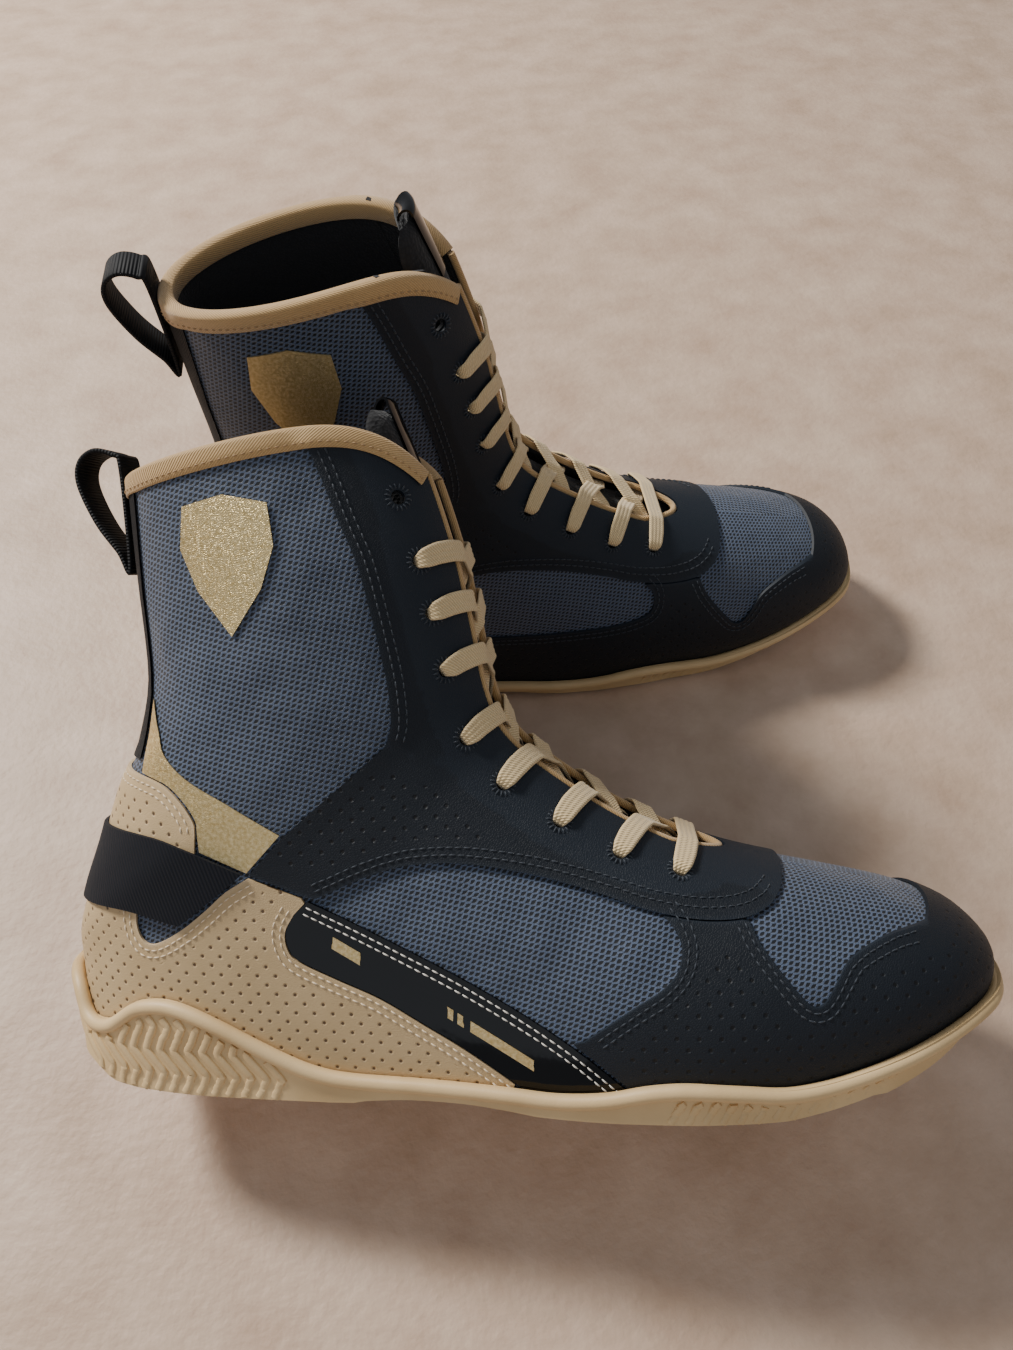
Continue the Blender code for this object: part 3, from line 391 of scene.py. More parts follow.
def sheetGrid(side, kValues, offset, fromRidge=None, gapBase=0.0, columns=36, hem=0.0):
    c = np.linspace(0, 1, columns + 1)
    v = np.asarray(kValues, float)[:, None]
    top = collarSection(gapBase + c[None, :] * 96.0)
    k = np.where(v > 16.0, 16.0 + (v - 16.0) * (top - 16.0) / 6.0, v + 0.0 * top)
    total = arcTable(k)[..., -1]
    start = fromRidge(k) if fromRidge else np.zeros_like(k)
    distance = start + (total - hem - start) * c
    phi = phiAt(k, distance)
    points = skinAt(k, phi, side) + skinNormal(k, phi, side) * offset
    return points, flatPattern(k, phi)


def sheetMesh(name, kValues, low, high, sides=(-1, 1), **options):
    points = []
    uvs = []
    faces = []
    for side in sides:
        grid, uv = sheetGrid(side, kValues, (low + high) / 2.0, **options)
        found = gridFaces(grid.shape[0], grid.shape[1], sum(len(p) for p in points))
        faces.append(found if side < 0 else found[:, ::-1])
        points.append(grid.reshape(-1, 3))
        uvs.append(uv.reshape(-1, 2))
    mesh = meshOf(name, np.concatenate(points), np.concatenate(faces), np.concatenate(uvs))
    return thickened(workObject(name, mesh), high - low)


def plate(outer, inner, y0, y1):
    curve = bpy.data.curves.new("plate", "CURVE")
    curve.dimensions = "2D"
    curve.fill_mode = "BOTH"
    curve.extrude = (y1 - y0) / 2.0 * mm
    for outline in (outer, inner):
        if outline is None:
            continue
        spline = curve.splines.new("POLY")
        spline.points.add(len(outline) - 1)
        for point, (x, z) in zip(spline.points, outline):
            point.co = (x * mm, z * mm, 0.0, 1.0)
        spline.use_cyclic_u = True
    source = workObject("plate", curve)
    mesh = applied(source)
    bm = bmesh.new()
    bm.from_mesh(mesh)
    bmesh.ops.remove_doubles(bm, verts=bm.verts, dist=1e-6)
    turn = Matrix.Translation((0, (y0 + y1) / 2.0 * mm, 0)) @ Matrix.Rotation(math.radians(90), 4, "X")
    bmesh.ops.transform(bm, matrix=turn, verts=bm.verts)
    bmesh.ops.recalc_face_normals(bm, faces=bm.faces)
    bm.to_mesh(mesh)
    bm.free()
    obj = workObject("plate", mesh)
    obj.hide_render = True
    return obj


def cut(obj, cutter, operation="DIFFERENCE"):
    mod = obj.modifiers.new("cut", "BOOLEAN")
    mod.operation = operation
    mod.object = cutter
    mod.solver = "EXACT"
    return cutter


bigFrame = ((-60.0, -40.0), (360.0, -40.0), (360.0, 300.0), (-60.0, 300.0))
halfDeep = 95.0  # past the widest point of a boot
pastRidge = 0.4  # how far a one-sided cutter reaches over the middle


def trimmed(obj, outer=None, inner=None, only=None):
    cutters = []
    if only is not None:
        cutters.append(cut(obj, plate(only, None, -halfDeep, halfDeep), "INTERSECT"))
    if outer is not None:
        cutters.append(cut(obj, plate(bigFrame, outer, -halfDeep, pastRidge)))
    if inner is not None:
        cutters.append(cut(obj, plate(bigFrame, inner, -pastRidge, halfDeep)))
    return cutters


def finished(obj, cutters=(), edges=(), corner=38.0):
    mesh = applied(obj)
    for cutter in cutters:
        bpy.data.objects.remove(cutter)
    if edges:
        markEdges(mesh, edges)
    return smoothFaces(mesh, corner)


def markEdges(mesh, edges):
    points = np.array([v.co for v in mesh.vertices]) / mm
    flat = points[:, [0, 2]]
    gap = np.full(len(flat), 40.0)
    for outline, side in edges:
        a = np.array(outline[:-1], float)
        b = np.array(outline[1:], float)
        along = b - a
        size = np.maximum((along ** 2).sum(1), 1e-9)
        t = np.clip(((flat[:, None] - a) * along).sum(2) / size, 0, 1)
        near = np.hypot(*np.moveaxis(flat[:, None] - a - t[..., None] * along, 2, 0)).min(1)
        here = np.ones(len(flat), bool) if side == 0 else points[:, 1] * side > -6.0
        gap = np.where(here, np.minimum(gap, near), gap)
    attribute = mesh.attributes.new("edgeGap", "FLOAT", "POINT")
    attribute.data.foreach_set("value", gap.astype(np.float32))


# Where the two boots stand. The right one is turned and leans about the inner edge of its sole.
pairPlace = {"leftAt": (-135.0233, 107.5513, 0.0), "turn": -12.0, "lean": 46.0, "edgeAt": (58.0, 37.161, 0.0)}
tipJoint = next(j for j in frame["joints"] if j["name"] == "right_boot_tip")
leftPlace = Matrix.Translation(Vector(pairPlace["leftAt"]) * mm)
rightPlace = (
    Matrix.Translation(Vector(tipJoint["pos_m"]))
    @ Matrix.Rotation(-math.radians(pairPlace["lean"]), 4, Vector(tipJoint["axis"]))
    @ Matrix.Rotation(math.radians(pairPlace["turn"]), 4, "Z")
    @ Matrix.Translation(Vector(pairPlace["edgeAt"]) * -mm)
)


def mirrored(mesh):
    other = mesh.copy()
    other.transform(Matrix.Diagonal((1.0, -1.0, 1.0, 1.0)))
    other.flip_normals()
    return other


def onBothBoots(name, mesh, material, replaces=(), body="boot"):
    made = []
    mesh.materials.clear()
    mesh.materials.append(material)
    for foot, shape, place in (("right", mesh, rightPlace), ("left", mirrored(mesh), leftPlace)):
        obj = bpy.data.objects.new(foot + name[0].upper() + name[1:], shape)
        bpy.context.scene.collection.objects.link(obj)
        obj.matrix_world = place
        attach(obj, foot + "_" + body)
        if replaces:
            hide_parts(*[foot + "_" + node for node in replaces])
        made.append(obj)
    return made


def sweep(name, points, across, outward, profile, closed=False):
    points = np.asarray(points, float)
    shape = np.asarray(profile, float)
    if shape.ndim == 2:
        shape = np.broadcast_to(shape, (len(points),) + shape.shape)
    n, m = shape.shape[:2]
    rings = points[:, None] + across[:, None] * shape[..., 0:1] + outward[:, None] * shape[..., 1:2]
    steps = np.linalg.norm(np.diff(points, axis=0), axis=1)
    run = np.concatenate([[0], np.cumsum(steps)])
    girth = np.concatenate([[0], np.cumsum(np.linalg.norm(np.diff(shape[0], axis=0), axis=1))])
    uv = np.stack(np.broadcast_arrays(run[:, None], girth[None, :]), -1).reshape(-1, 2)
    faces = []
    for i in range(n if closed else n - 1):
        a = i * m
        b = ((i + 1) % n) * m
        for j in range(m):
            faces.append((a + j, b + j, b + (j + 1) % m, a + (j + 1) % m))
    if not closed:
        faces.append(tuple(range(m)))
        faces.append(tuple(range((n - 1) * m, n * m))[::-1])
    return meshOf(name, rings.reshape(-1, 3), faces, uv, weld=0.0)


def fixNormals(mesh):
    bm = bmesh.new()
    bm.from_mesh(mesh)
    bmesh.ops.recalc_face_normals(bm, faces=bm.faces)
    bm.to_mesh(mesh)
    bm.free()
    return mesh


def unit(v):
    return v / np.maximum(np.linalg.norm(v, axis=-1, keepdims=True), 1e-9)


def pathFrames(points, normals, closed=False):
    if closed:
        ahead = unit(np.roll(points, -1, 0) - np.roll(points, 1, 0))
    else:
        ahead = unit(np.gradient(points, axis=0))
    out = unit(normals - ahead * (normals * ahead).sum(1, keepdims=True))
    return np.cross(ahead, out), out


def joined(meshes, name="joined"):
    bm = bmesh.new()
    for mesh in meshes:
        bm.from_mesh(mesh)
    out = bpy.data.meshes.new(name)
    bm.to_mesh(out)
    bm.free()
    return out


def resampled(points, pitch):
    points = np.asarray(points, float)
    run = np.concatenate([[0], np.cumsum(np.linalg.norm(np.diff(points, axis=0), axis=1))])
    count = max(int(run[-1] / pitch), 2)
    marks = np.linspace(0, run[-1], count + 1)
    return np.stack([np.interp(marks, run, points[:, i]) for i in range(points.shape[1])], -1)


# A stitch is a short rounded bead of thread that rises out of the surface and dips back in.
threadShape = {"pitch": 2.7, "length": 2.1, "radius": 0.27, "tip": 0.45, "rings": 4, "sides": 6}


def addBead(verts, faces, centre, ahead, across, out, half, radius, tip, rise, dip):
    rings, sides, base = threadShape["rings"], threadShape["sides"], len(verts)
    for r in range(rings):
        s = r / (rings - 1) * 2 - 1
        ring = radius * (tip + (1 - tip) * math.sqrt(max(1 - s * s, 0.0)))
        for q in range(sides):
            turn = 2 * math.pi * q / sides
            lift = rise - dip * s * s + ring * math.sin(turn)
            verts.append(centre + ahead * (s * half) + out * lift + across * (ring * math.cos(turn)))
    for r in range(rings - 1):
        for q in range(sides):
            a = base + r * sides + q
            b = base + r * sides + (q + 1) % sides
            faces.append((a, a + sides, b + sides, b))
    faces.append(tuple(range(base, base + sides)))
    faces.append(tuple(range(base + (rings - 1) * sides, base + rings * sides))[::-1])


def stitchesAlong(points, normals, radius=None, pitch=None, length=None):
    radius = radius or threadShape["radius"]
    half = (length or threadShape["length"]) / 2
    both = resampled(np.concatenate([points, normals], 1), pitch or threadShape["pitch"])
    places, out = both[:, :3], unit(both[:, 3:])
    verts, faces = [], []
    for i in range(len(places) - 1):
        gap = np.linalg.norm(places[i + 1] - places[i])
        if gap < 1e-6:
            continue
        ahead = (places[i + 1] - places[i]) / gap
        n = unit(out[i] + out[i + 1])
        n = unit(n - ahead * (n @ ahead))
        addBead(verts, faces, (places[i] + places[i + 1]) / 2.0, ahead, np.cross(ahead, n), n, half, radius,
                threadShape["tip"], radius * 0.55, radius * 0.9)
    return verts, faces


def offsetLine(points, distance, towards):
    p = np.asarray(points, float)
    ahead = unit(np.gradient(p, axis=0))
    left = np.stack([-ahead[:, 1], ahead[:, 0]], -1)
    middle = len(p) // 2
    goal = np.asarray(towards, float) - p[middle]
    sign = 1.0 if left[middle] @ goal > 0 else -1.0
    return p + left * distance * sign


def onSurface(points, side, height):
    k, phi = locate(points)
    n = skinNormal(k, phi, side)
    return skinAt(k, phi, side) + n * height, n


def seam(lineName, sides, insets, towards, height, span=(0.0, 1.0)):
    verts = []
    faces = []
    p = sampled(sideLines[lineName], 5)
    first = int(span[0] * (len(p) - 1))
    last = int(span[1] * (len(p) - 1)) + 1
    for inset in insets:
        path = offsetLine(p[first:last], inset, towards)
        for side in sides:
            points, normals = onSurface(path, side, height)
            v, f = stitchesAlong(points, normals)
            faces += [tuple(i + len(verts) for i in face) for face in f]
            verts += v
    return verts, faces


def seamMesh(name, seams):
    verts = []
    faces = []
    for v, f in seams:
        faces += [tuple(i + len(verts) for i in face) for face in f]
        verts += list(v)
    mesh = meshOf(name, verts, faces, weld=0.0)
    return smoothFaces(mesh, 80.0)


# Shader helpers.
def put(tree, kind, inputs=None, **settings):
    node = tree.nodes.new(kind)
    for name, value in settings.items():
        setattr(node, name, value)
    for name, value in (inputs or {}).items():
        socket = node.inputs[name]
        if isinstance(value, bpy.types.NodeSocket):
            tree.links.new(value, socket)
        else:
            socket.default_value = value
    return node


def calc(tree, operation, a, b=0.0, c=0.0):
    node = tree.nodes.new("ShaderNodeMath")
    node.operation = operation
    for socket, value in zip(node.inputs, (a, b, c)):
        if isinstance(value, bpy.types.NodeSocket):
            tree.links.new(value, socket)
        else:
            socket.default_value = value
    return node.outputs[0]


def blendColour(tree, mask, a, b):
    node = tree.nodes.new("ShaderNodeMix")
    node.data_type = "RGBA"
    for name, value in (("Factor_Float", mask), ("A_Color", a), ("B_Color", b)):
        socket = next(s for s in node.inputs if s.identifier == name)
        if isinstance(value, bpy.types.NodeSocket):
            tree.links.new(value, socket)
        elif name == "Factor_Float":
            socket.default_value = value
        else:
            socket.default_value = (*value, 1.0) if len(value) == 3 else value
    return next(s for s in node.outputs if s.identifier == "Result_Color")


def noiseAt(tree, where, scale, detail, roughness=0.5):
    inputs = {"Vector": where, "Scale": scale, "Detail": detail, "Roughness": roughness}
    return put(tree, "ShaderNodeTexNoise", inputs).outputs["Fac"]


def ramp(tree, value, low, high):
    node = put(tree, "ShaderNodeMapRange", {"Value": value, "From Min": low, "From Max": high})
    node.clamp = True
    return node.outputs[0]


def newGroup(name, inputs, outputs):
    group = bpy.data.node_groups.new(name, "ShaderNodeTree")
    for label, value in inputs.items():
        kind = "NodeSocketVector" if value is None else "NodeSocketFloat"
        socket = group.interface.new_socket(label, in_out="INPUT", socket_type=kind)
        if value is not None:
            socket.default_value = value
    for label in outputs:
        group.interface.new_socket(label, in_out="OUTPUT", socket_type="NodeSocketFloat")
    start = group.nodes.new("NodeGroupInput")
    end = group.nodes.new("NodeGroupOutput")
    return group, start.outputs, end.inputs


def useGroup(tree, group, **inputs):
    node = tree.nodes.new("ShaderNodeGroup")
    node.node_tree = group
    for name, value in inputs.items():
        socket = node.inputs[name]
        if isinstance(value, bpy.types.NodeSocket):
            tree.links.new(value, socket)
        else:
            socket.default_value = value
    return node.outputs


def makePunchedHoles():
    inputs = {"Place": None, "Pitch": 6.2, "Hole": 0.5}
    tree, given, result = newGroup("punchedHoles", inputs, ("Mask", "Rim"))
    distance = []
    for shift in (0.0, 0.5):
        split = put(tree, "ShaderNodeSeparateXYZ", {"Vector": given["Place"]})
        parts = []
        for axis in (0, 1):
            cell = calc(tree, "ADD", calc(tree, "DIVIDE", split.outputs[axis], given["Pitch"]), shift)
            off = calc(tree, "SUBTRACT", calc(tree, "FRACT", cell), 0.5)
            parts.append(calc(tree, "MULTIPLY", off, given["Pitch"]))
        squares = [calc(tree, "MULTIPLY", part, part) for part in parts]
        square = calc(tree, "ADD", *squares)
        distance.append(calc(tree, "SQRT", square))
    near = calc(tree, "MINIMUM", distance[0], distance[1])
    edge = calc(tree, "DIVIDE", near, given["Hole"])
    tree.links.new(ramp(tree, edge, 1.15, 0.85), result["Mask"])
    tree.links.new(ramp(tree, edge, 1.7, 0.8), result["Rim"])
    return tree


def makeLeatherGrain():
    tree, given, result = newGroup("leatherGrain", {"Place": None, "Size": 0.9}, ("Height", "Shade"))
    scaled = put(tree, "ShaderNodeVectorMath", {0: given["Place"]}, operation="SCALE")
    tree.links.new(calc(tree, "DIVIDE", 1.0, given["Size"]), scaled.inputs["Scale"])
    cells = put(tree, "ShaderNodeTexVoronoi", {"Vector": scaled.outputs[0], "Scale": 1.0},
                feature="DISTANCE_TO_EDGE")
    pores = ramp(tree, cells.outputs["Distance"], 0.0, 0.18)
    noise = noiseAt(tree, given["Place"], 0.08, 4.0)
    tree.links.new(pores, result["Height"])
    tree.links.new(noise, result["Shade"])
    return tree


def makeOpenMesh():
    tree, given, result = newGroup("openMesh", {"Place": None, "Open": 0.5}, ("Thread", "Height", "Shade"))
    warp = put(tree, "ShaderNodeTexNoise", {"Vector": given["Place"], "Scale": 0.35, "Detail": 2.0})
    pushed = {0: warp.outputs["Color"], 1: (0.35, 0.35, 0.0), 2: given["Place"]}
    bent = put(tree, "ShaderNodeVectorMath", pushed, operation="MULTIPLY_ADD")
    split = put(tree, "ShaderNodeSeparateXYZ", {"Vector": bent.outputs[0]})
    u, v = split.outputs[0], split.outputs[1]
    lean = math.radians(32.0)  # the short slots of the knit lie on a slant
    run = calc(tree, "MULTIPLY_ADD", v, math.sin(lean), calc(tree, "MULTIPLY", u, math.cos(lean)))
    rise = calc(tree, "MULTIPLY_ADD", u, -math.sin(lean), calc(tree, "MULTIPLY", v, math.cos(lean)))
    slotRun, slotRise = 2.5, 1.25  # pitch along and across the slots, in mm
    row = calc(tree, "FLOOR", calc(tree, "DIVIDE", rise, slotRise))
    stagger = calc(tree, "MULTIPLY", calc(tree, "MODULO", row, 2.0), math.pi)
    along = calc(tree, "COSINE", calc(tree, "MULTIPLY_ADD", run, 2 * math.pi / slotRun, stagger))
    across = calc(tree, "COSINE", calc(tree, "MULTIPLY_ADD", rise, 2 * math.pi / slotRise, math.pi))
    patch = noiseAt(tree, given["Place"], 0.9, 2.0)
    uneven = calc(tree, "MULTIPLY_ADD", patch, 1.4, -0.7)
    opened = calc(tree, "ADD", calc(tree, "ADD", along, across), uneven)
    mask = ramp(tree, opened, given["Open"], calc(tree, "ADD", given["Open"], 0.7))
    thread = calc(tree, "SUBTRACT", 1.0, mask)
    tree.links.new(thread, result["Thread"])
    tree.links.new(thread, result["Height"])
    fine = noiseAt(tree, given["Place"], 2.6, 2.0)
    tree.links.new(fine, result["Shade"])
    return tree


def makeTwill():
    tree, given, result = newGroup("twill", {"Place": None, "Pitch": 0.9, "Slant": 1.0}, ("Height", "Shade"))
    split = put(tree, "ShaderNodeSeparateXYZ", {"Vector": given["Place"]})
    slant = calc(tree, "MULTIPLY_ADD", split.outputs[1], given["Slant"], split.outputs[0])
    turn = calc(tree, "DIVIDE", calc(tree, "MULTIPLY", slant, 2 * math.pi), given["Pitch"])
    ribs = calc(tree, "MULTIPLY_ADD", calc(tree, "SINE", turn), 0.5, 0.5)
    noise = noiseAt(tree, given["Place"], 1.3, 3.0)
    tree.links.new(ribs, result["Height"])
    shade = calc(tree, "MULTIPLY_ADD", noise, 0.5, calc(tree, "MULTIPLY", ribs, 0.5))
    tree.links.new(shade, result["Shade"])
    return tree


groups = {
    "holes": makePunchedHoles(),
    "grain": makeLeatherGrain(),
    "openMesh": makeOpenMesh(),
    "twill": makeTwill(),
}


def startMaterial(name, roughness=0.6, **sockets):
    material = bpy.data.materials.new(name)
    material.use_nodes = True
    tree = material.node_tree
    shader = tree.nodes["Principled BSDF"]
    shader.inputs["Roughness"].default_value = roughness
    for label, value in sockets.items():
        shader.inputs[label.replace("_", " ")].default_value = value
    uv = put(tree, "ShaderNodeUVMap", uv_map="pattern")
    place = put(tree, "ShaderNodeVectorMath", {0: uv.outputs[0], "Scale": 100.0}, operation="SCALE")
    return material, tree, shader, place.outputs[0]


def bodyPlace(tree, scale=1000.0):
    own = put(tree, "ShaderNodeTexCoord").outputs["Object"]
    return put(tree, "ShaderNodeVectorMath", {0: own, "Scale": scale}, operation="SCALE").outputs[0]


def bump(tree, shader, height, distance, strength=1.0):
    node = put(tree, "ShaderNodeBump", {"Height": height, "Distance": distance * mm, "Strength": strength})
    tree.links.new(node.outputs[0], shader.inputs["Normal"])


def setColour(tree, shader, socket):
    tree.links.new(socket, shader.inputs["Base Color"])


def setRoughness(tree, shader, value, low, high):
    tree.links.new(calc(tree, "MULTIPLY_ADD", value, high - low, low), shader.inputs["Roughness"])


def perforatedLeather(name, settings):
    material, tree, shader, place = startMaterial(name, **settings.get("sockets", {}))
    grain = useGroup(tree, groups["grain"], Place=place, Size=settings["grainSize"])
    holes = useGroup(tree, groups["holes"], Place=place, Pitch=settings["pitch"], Hole=settings["hole"])
    gap = put(tree, "ShaderNodeAttribute", attribute_name="edgeGap")
    clear = ramp(tree, gap.outputs["Fac"], settings["margin"], settings["margin"] + 0.6)
    punched = calc(tree, "MULTIPLY", holes["Mask"], clear)
    rim = calc(tree, "MULTIPLY", holes["Rim"], clear)
    worn = calc(tree, "MULTIPLY", ramp(tree, gap.outputs["Fac"], 1.2, 0.0), 0.6)
    colour = blendColour(tree, grain["Shade"], settings["dark"], settings["light"])
    colour = blendColour(tree, worn, colour, settings["worn"])
    colour = blendColour(tree, punched, colour, settings["holeColour"])
    setColour(tree, shader, colour)
    setRoughness(tree, shader, grain["Shade"], settings["rough"][0], settings["rough"][1])
    pores = calc(tree, "MULTIPLY", grain["Height"], settings["grainHeight"])
    height = calc(tree, "MULTIPLY_ADD", rim, -2.0, pores)
    bump(tree, shader, height, 0.12)
    return material


def clothMaterial(name, settings):
    material, tree, shader, place = startMaterial(name, settings["rough"], **settings.get("sockets", {}))
    weave = useGroup(tree, groups["twill"], Place=place, Pitch=settings["pitch"], Slant=settings["slant"])
    setColour(tree, shader, blendColour(tree, weave["Shade"], settings["dark"], settings["light"]))
    bump(tree, shader, weave["Height"], settings["relief"])
    return material


def slateMesh():
    settings = {
        "dark": (0.002, 0.0035, 0.007), "light": (0.036, 0.052, 0.088), "bright": (0.125, 0.165, 0.25),
        "open": -0.1, "foldScale": 0.045, "foldHeight": 7.0}
    material, tree, shader, place = startMaterial("slateMesh", 0.62, Sheen_Weight=0.25, Sheen_Roughness=0.4)
    weave = useGroup(tree, groups["openMesh"], Place=place, Open=settings["open"])
    thread = blendColour(tree, ramp(tree, weave["Shade"], 0.3, 0.75), settings["light"], settings["bright"])
    setColour(tree, shader, blendColour(tree, weave["Thread"], settings["dark"], thread))
    folds = noiseAt(tree, place, settings["foldScale"], 1.5)
    bump(tree, shader, calc(tree, "MULTIPLY_ADD", folds, settings["foldHeight"], weave["Height"]), 0.45)
    return material


def goldFilm():
    material, tree, shader, place = startMaterial("goldFilm", 0.34)
    grain = useGroup(tree, groups["grain"], Place=place, Size=0.55)
    noise = noiseAt(tree, place, 0.9, 5.0)
    tone = ramp(tree, noise, 0.35, 0.7)
    setColour(tree, shader, blendColour(tree, tone, (0.60, 0.44, 0.19), (0.82, 0.66, 0.36)))
    shader.inputs["Metallic"].default_value = 0.85
    setRoughness(tree, shader, noise, 0.28, 0.44)
    bump(tree, shader, calc(tree, "ADD", grain["Height"], noise), 0.05)
    return material


def patentBlack():
    material, tree, shader, place = startMaterial("patentBlack", 0.16, Specular_IOR_Level=0.28)
    noise = noiseAt(tree, bodyPlace(tree, 60.0), 1.2, 3.0)
    setColour(tree, shader, blendColour(tree, noise, (0.0008, 0.0008, 0.001), (0.0022, 0.0022, 0.0028)))
    setRoughness(tree, shader, noise, 0.06, 0.14)
    bump(tree, shader, noise, 0.25)
    return material


def gumRubber():
    material, tree, shader, place = startMaterial("gumRubber", 0.5)
    where = bodyPlace(tree)
    cloudy = noiseAt(tree, where, 0.035, 5.0)
    fine = noiseAt(tree, where, 1.6, 3.0)
    tone = ramp(tree, cloudy, 0.3, 0.72)
    setColour(tree, shader, blendColour(tree, tone, (0.57, 0.385, 0.18), (0.74, 0.53, 0.275)))
    setRoughness(tree, shader, cloudy, 0.42, 0.6)
    bump(tree, shader, fine, 0.05)
    return material


def plainThread(name, dark, light):
    material, tree, shader, place = startMaterial(name, 0.6, Sheen_Weight=0.2)
    noise = noiseAt(tree, bodyPlace(tree), 1.4, 2.0)
    setColour(tree, shader, blendColour(tree, noise, dark, light))
    bump(tree, shader, noise, 0.1)
    return material


def innerCloth(name, dark, light, scale=1.1):
    material, tree, shader, place = startMaterial(name, 0.9, Sheen_Weight=0.15)
    where = bodyPlace(tree)
    cells = put(tree, "ShaderNodeTexVoronoi", {"Vector": where, "Scale": scale}, feature="F1")
    setColour(tree, shader, blendColour(tree, cells.outputs["Distance"], light, dark))
    bump(tree, shader, cells.outputs["Distance"], 0.25)
    return material


materials = {
    "navy": perforatedLeather("navyLeather", {
        "grainSize": 0.75, "grainHeight": 0.5, "pitch": 6.4, "hole": 0.48, "margin": 7.0,
        "dark": (0.0028, 0.0052, 0.0092), "light": (0.0052, 0.0088, 0.0145), "worn": (0.010, 0.016, 0.025),
        "holeColour": (0.0004, 0.0005, 0.0008), "rough": (0.5, 0.64),
        "sockets": {"Specular_IOR_Level": 0.35}}),
    "tan": perforatedLeather("beigeLeather", {
        "grainSize": 0.7, "grainHeight": 0.35, "pitch": 5.9, "hole": 0.52, "margin": 6.2,
        "dark": (0.47, 0.33, 0.165), "light": (0.58, 0.42, 0.23), "worn": (0.66, 0.50, 0.31),
        "holeColour": (0.10, 0.055, 0.022), "rough": (0.5, 0.64)}),
    "slate": slateMesh(),
    "gold": goldFilm(),
    "patent": patentBlack(),
    "rubber": gumRubber(),
    "binding": clothMaterial("tanTwill", {
        "rough": 0.7, "pitch": 1.15, "slant": 1.3, "relief": 0.16,
        "dark": (0.38, 0.215, 0.075), "light": (0.70, 0.455, 0.195), "sockets": {"Sheen_Weight": 0.3}}),
    "lace": clothMaterial("creamLace", {
        "rough": 0.72, "pitch": 0.95, "slant": 0.55, "relief": 0.2,
        "dark": (0.56, 0.38, 0.165), "light": (0.95, 0.74, 0.42), "sockets": {"Sheen_Weight": 0.3}}),
    "webbing": clothMaterial("blackWebbing", {
        "rough": 0.72, "pitch": 1.1, "slant": 0.0, "relief": 0.22,
        "dark": (0.001, 0.001, 0.0013), "light": (0.006, 0.006, 0.0075),
        "sockets": {"Specular_IOR_Level": 0.3}}),
    "elastic": clothMaterial("navyElastic", {
        "rough": 0.75, "pitch": 1.25, "slant": 0.35, "relief": 0.18,
        "dark": (0.001, 0.0016, 0.0035), "light": (0.004, 0.0065, 0.013),
        "sockets": {"Specular_IOR_Level": 0.3}}),
    "lining": innerCloth("blackLining", (0.0015, 0.0015, 0.002), (0.008, 0.008, 0.01)),
    "tongue": innerCloth("blackTongue", (0.002, 0.002, 0.0025), (0.011, 0.011, 0.013), 0.8),
    "board": innerCloth("pressedBoard", (0.20, 0.13, 0.07), (0.32, 0.22, 0.13), 0.5),
    "navyThread": plainThread("navyThread", (0.006, 0.010, 0.017), (0.020, 0.030, 0.045)),
    "creamThread": plainThread("creamThread", (0.62, 0.47, 0.30), (0.88, 0.74, 0.53)),
    "whiteThread": plainThread("whiteThread", (0.62, 0.58, 0.50), (0.88, 0.84, 0.76)),
    "darkThread": plainThread("darkTanThread", (0.28, 0.16, 0.06), (0.42, 0.26, 0.11)),
}
print("materials are made")


# Shared outlines, in the side view.
def shifted(points, dx, dz):
    return [(x + dx, z + dz) for x, z in points]


def between(points, low, high):
    return [(x, z) for x, z in points if low < x < high]


stayOutline = line("stayLow") + [(236.0, 68.0), (262.0, 90.0), (262.0, 240.0), (80.0, 240.0)]
stayOutline += line("shaftMesh") + [(81.0, 85.0)]
lowStay = shifted(between(line("stayLow"), 198.0, 221.5), 0.0, -0.5)
capOuter = [(286.0, 60.0), (320.0, 60.0), (320.0, -20.0), (200.0, -20.0)]
capOuter += shifted(between(line("bandTop")[::-1], 166.0, 400.0), 1.0, 0.5)
capOuter += line("quarterRight")[::-1] + lowStay + line("toeMesh")
capInner = [(286.0, 60.0), (320.0, 60.0), (320.0, -20.0), (102.0, -20.0), (99.0, 20.0)]
capInner += line("innerMesh")[::-1] + lowStay + line("toeMesh")
notchLine = line("notch") + [(52.5, 80.0)]
heelOuter = line("tab")[::-1] + [(-40.0, 107.0), (-40.0, -20.0), (168.0, -20.0)]
heelOuter += shifted(line("bandLow")[::-1], -0.5, -0.5) + [(87.0, 64.5), (86.0, 66.0)] + notchLine
heelInner = line("tab")[::-1] + [(-40.0, 107.0), (-40.0, -20.0), (101.0, -20.0), (98.0, 20.0), (97.0, 45.0)]
heelInner += [(92.0, 62.0), (87.5, 65.5)] + notchLine

fineTop = np.linspace(16.0, 22.0, 26)[1:]
upperRows = {
    "stay": np.concatenate([
        np.linspace(4.0, 6.0, 9)[:-1], 6.0 + np.linspace(0, 1, 13) ** 2, np.linspace(7, 16, 46)[1:], fineTop]),
    "toe": np.linspace(0.0, 12.0, 66),
    "shaft": np.concatenate([np.linspace(12.0, 16.0, 20), fineTop]),
    "heel": np.concatenate([np.linspace(7.5, 16.0, 48), fineTop]),
    "band": np.linspace(4.0, 15.0, 60),
    "ankle": np.concatenate([np.linspace(10.0, 16.0, 30), fineTop]),
    "top": np.concatenate([[16.0], fineTop]),
    "strap": np.concatenate([np.linspace(13.0, 16.0, 20), fineTop]),
}


def clothStart(k):
    return np.where(k <= 6.0, 0.0, facingEdge(k))


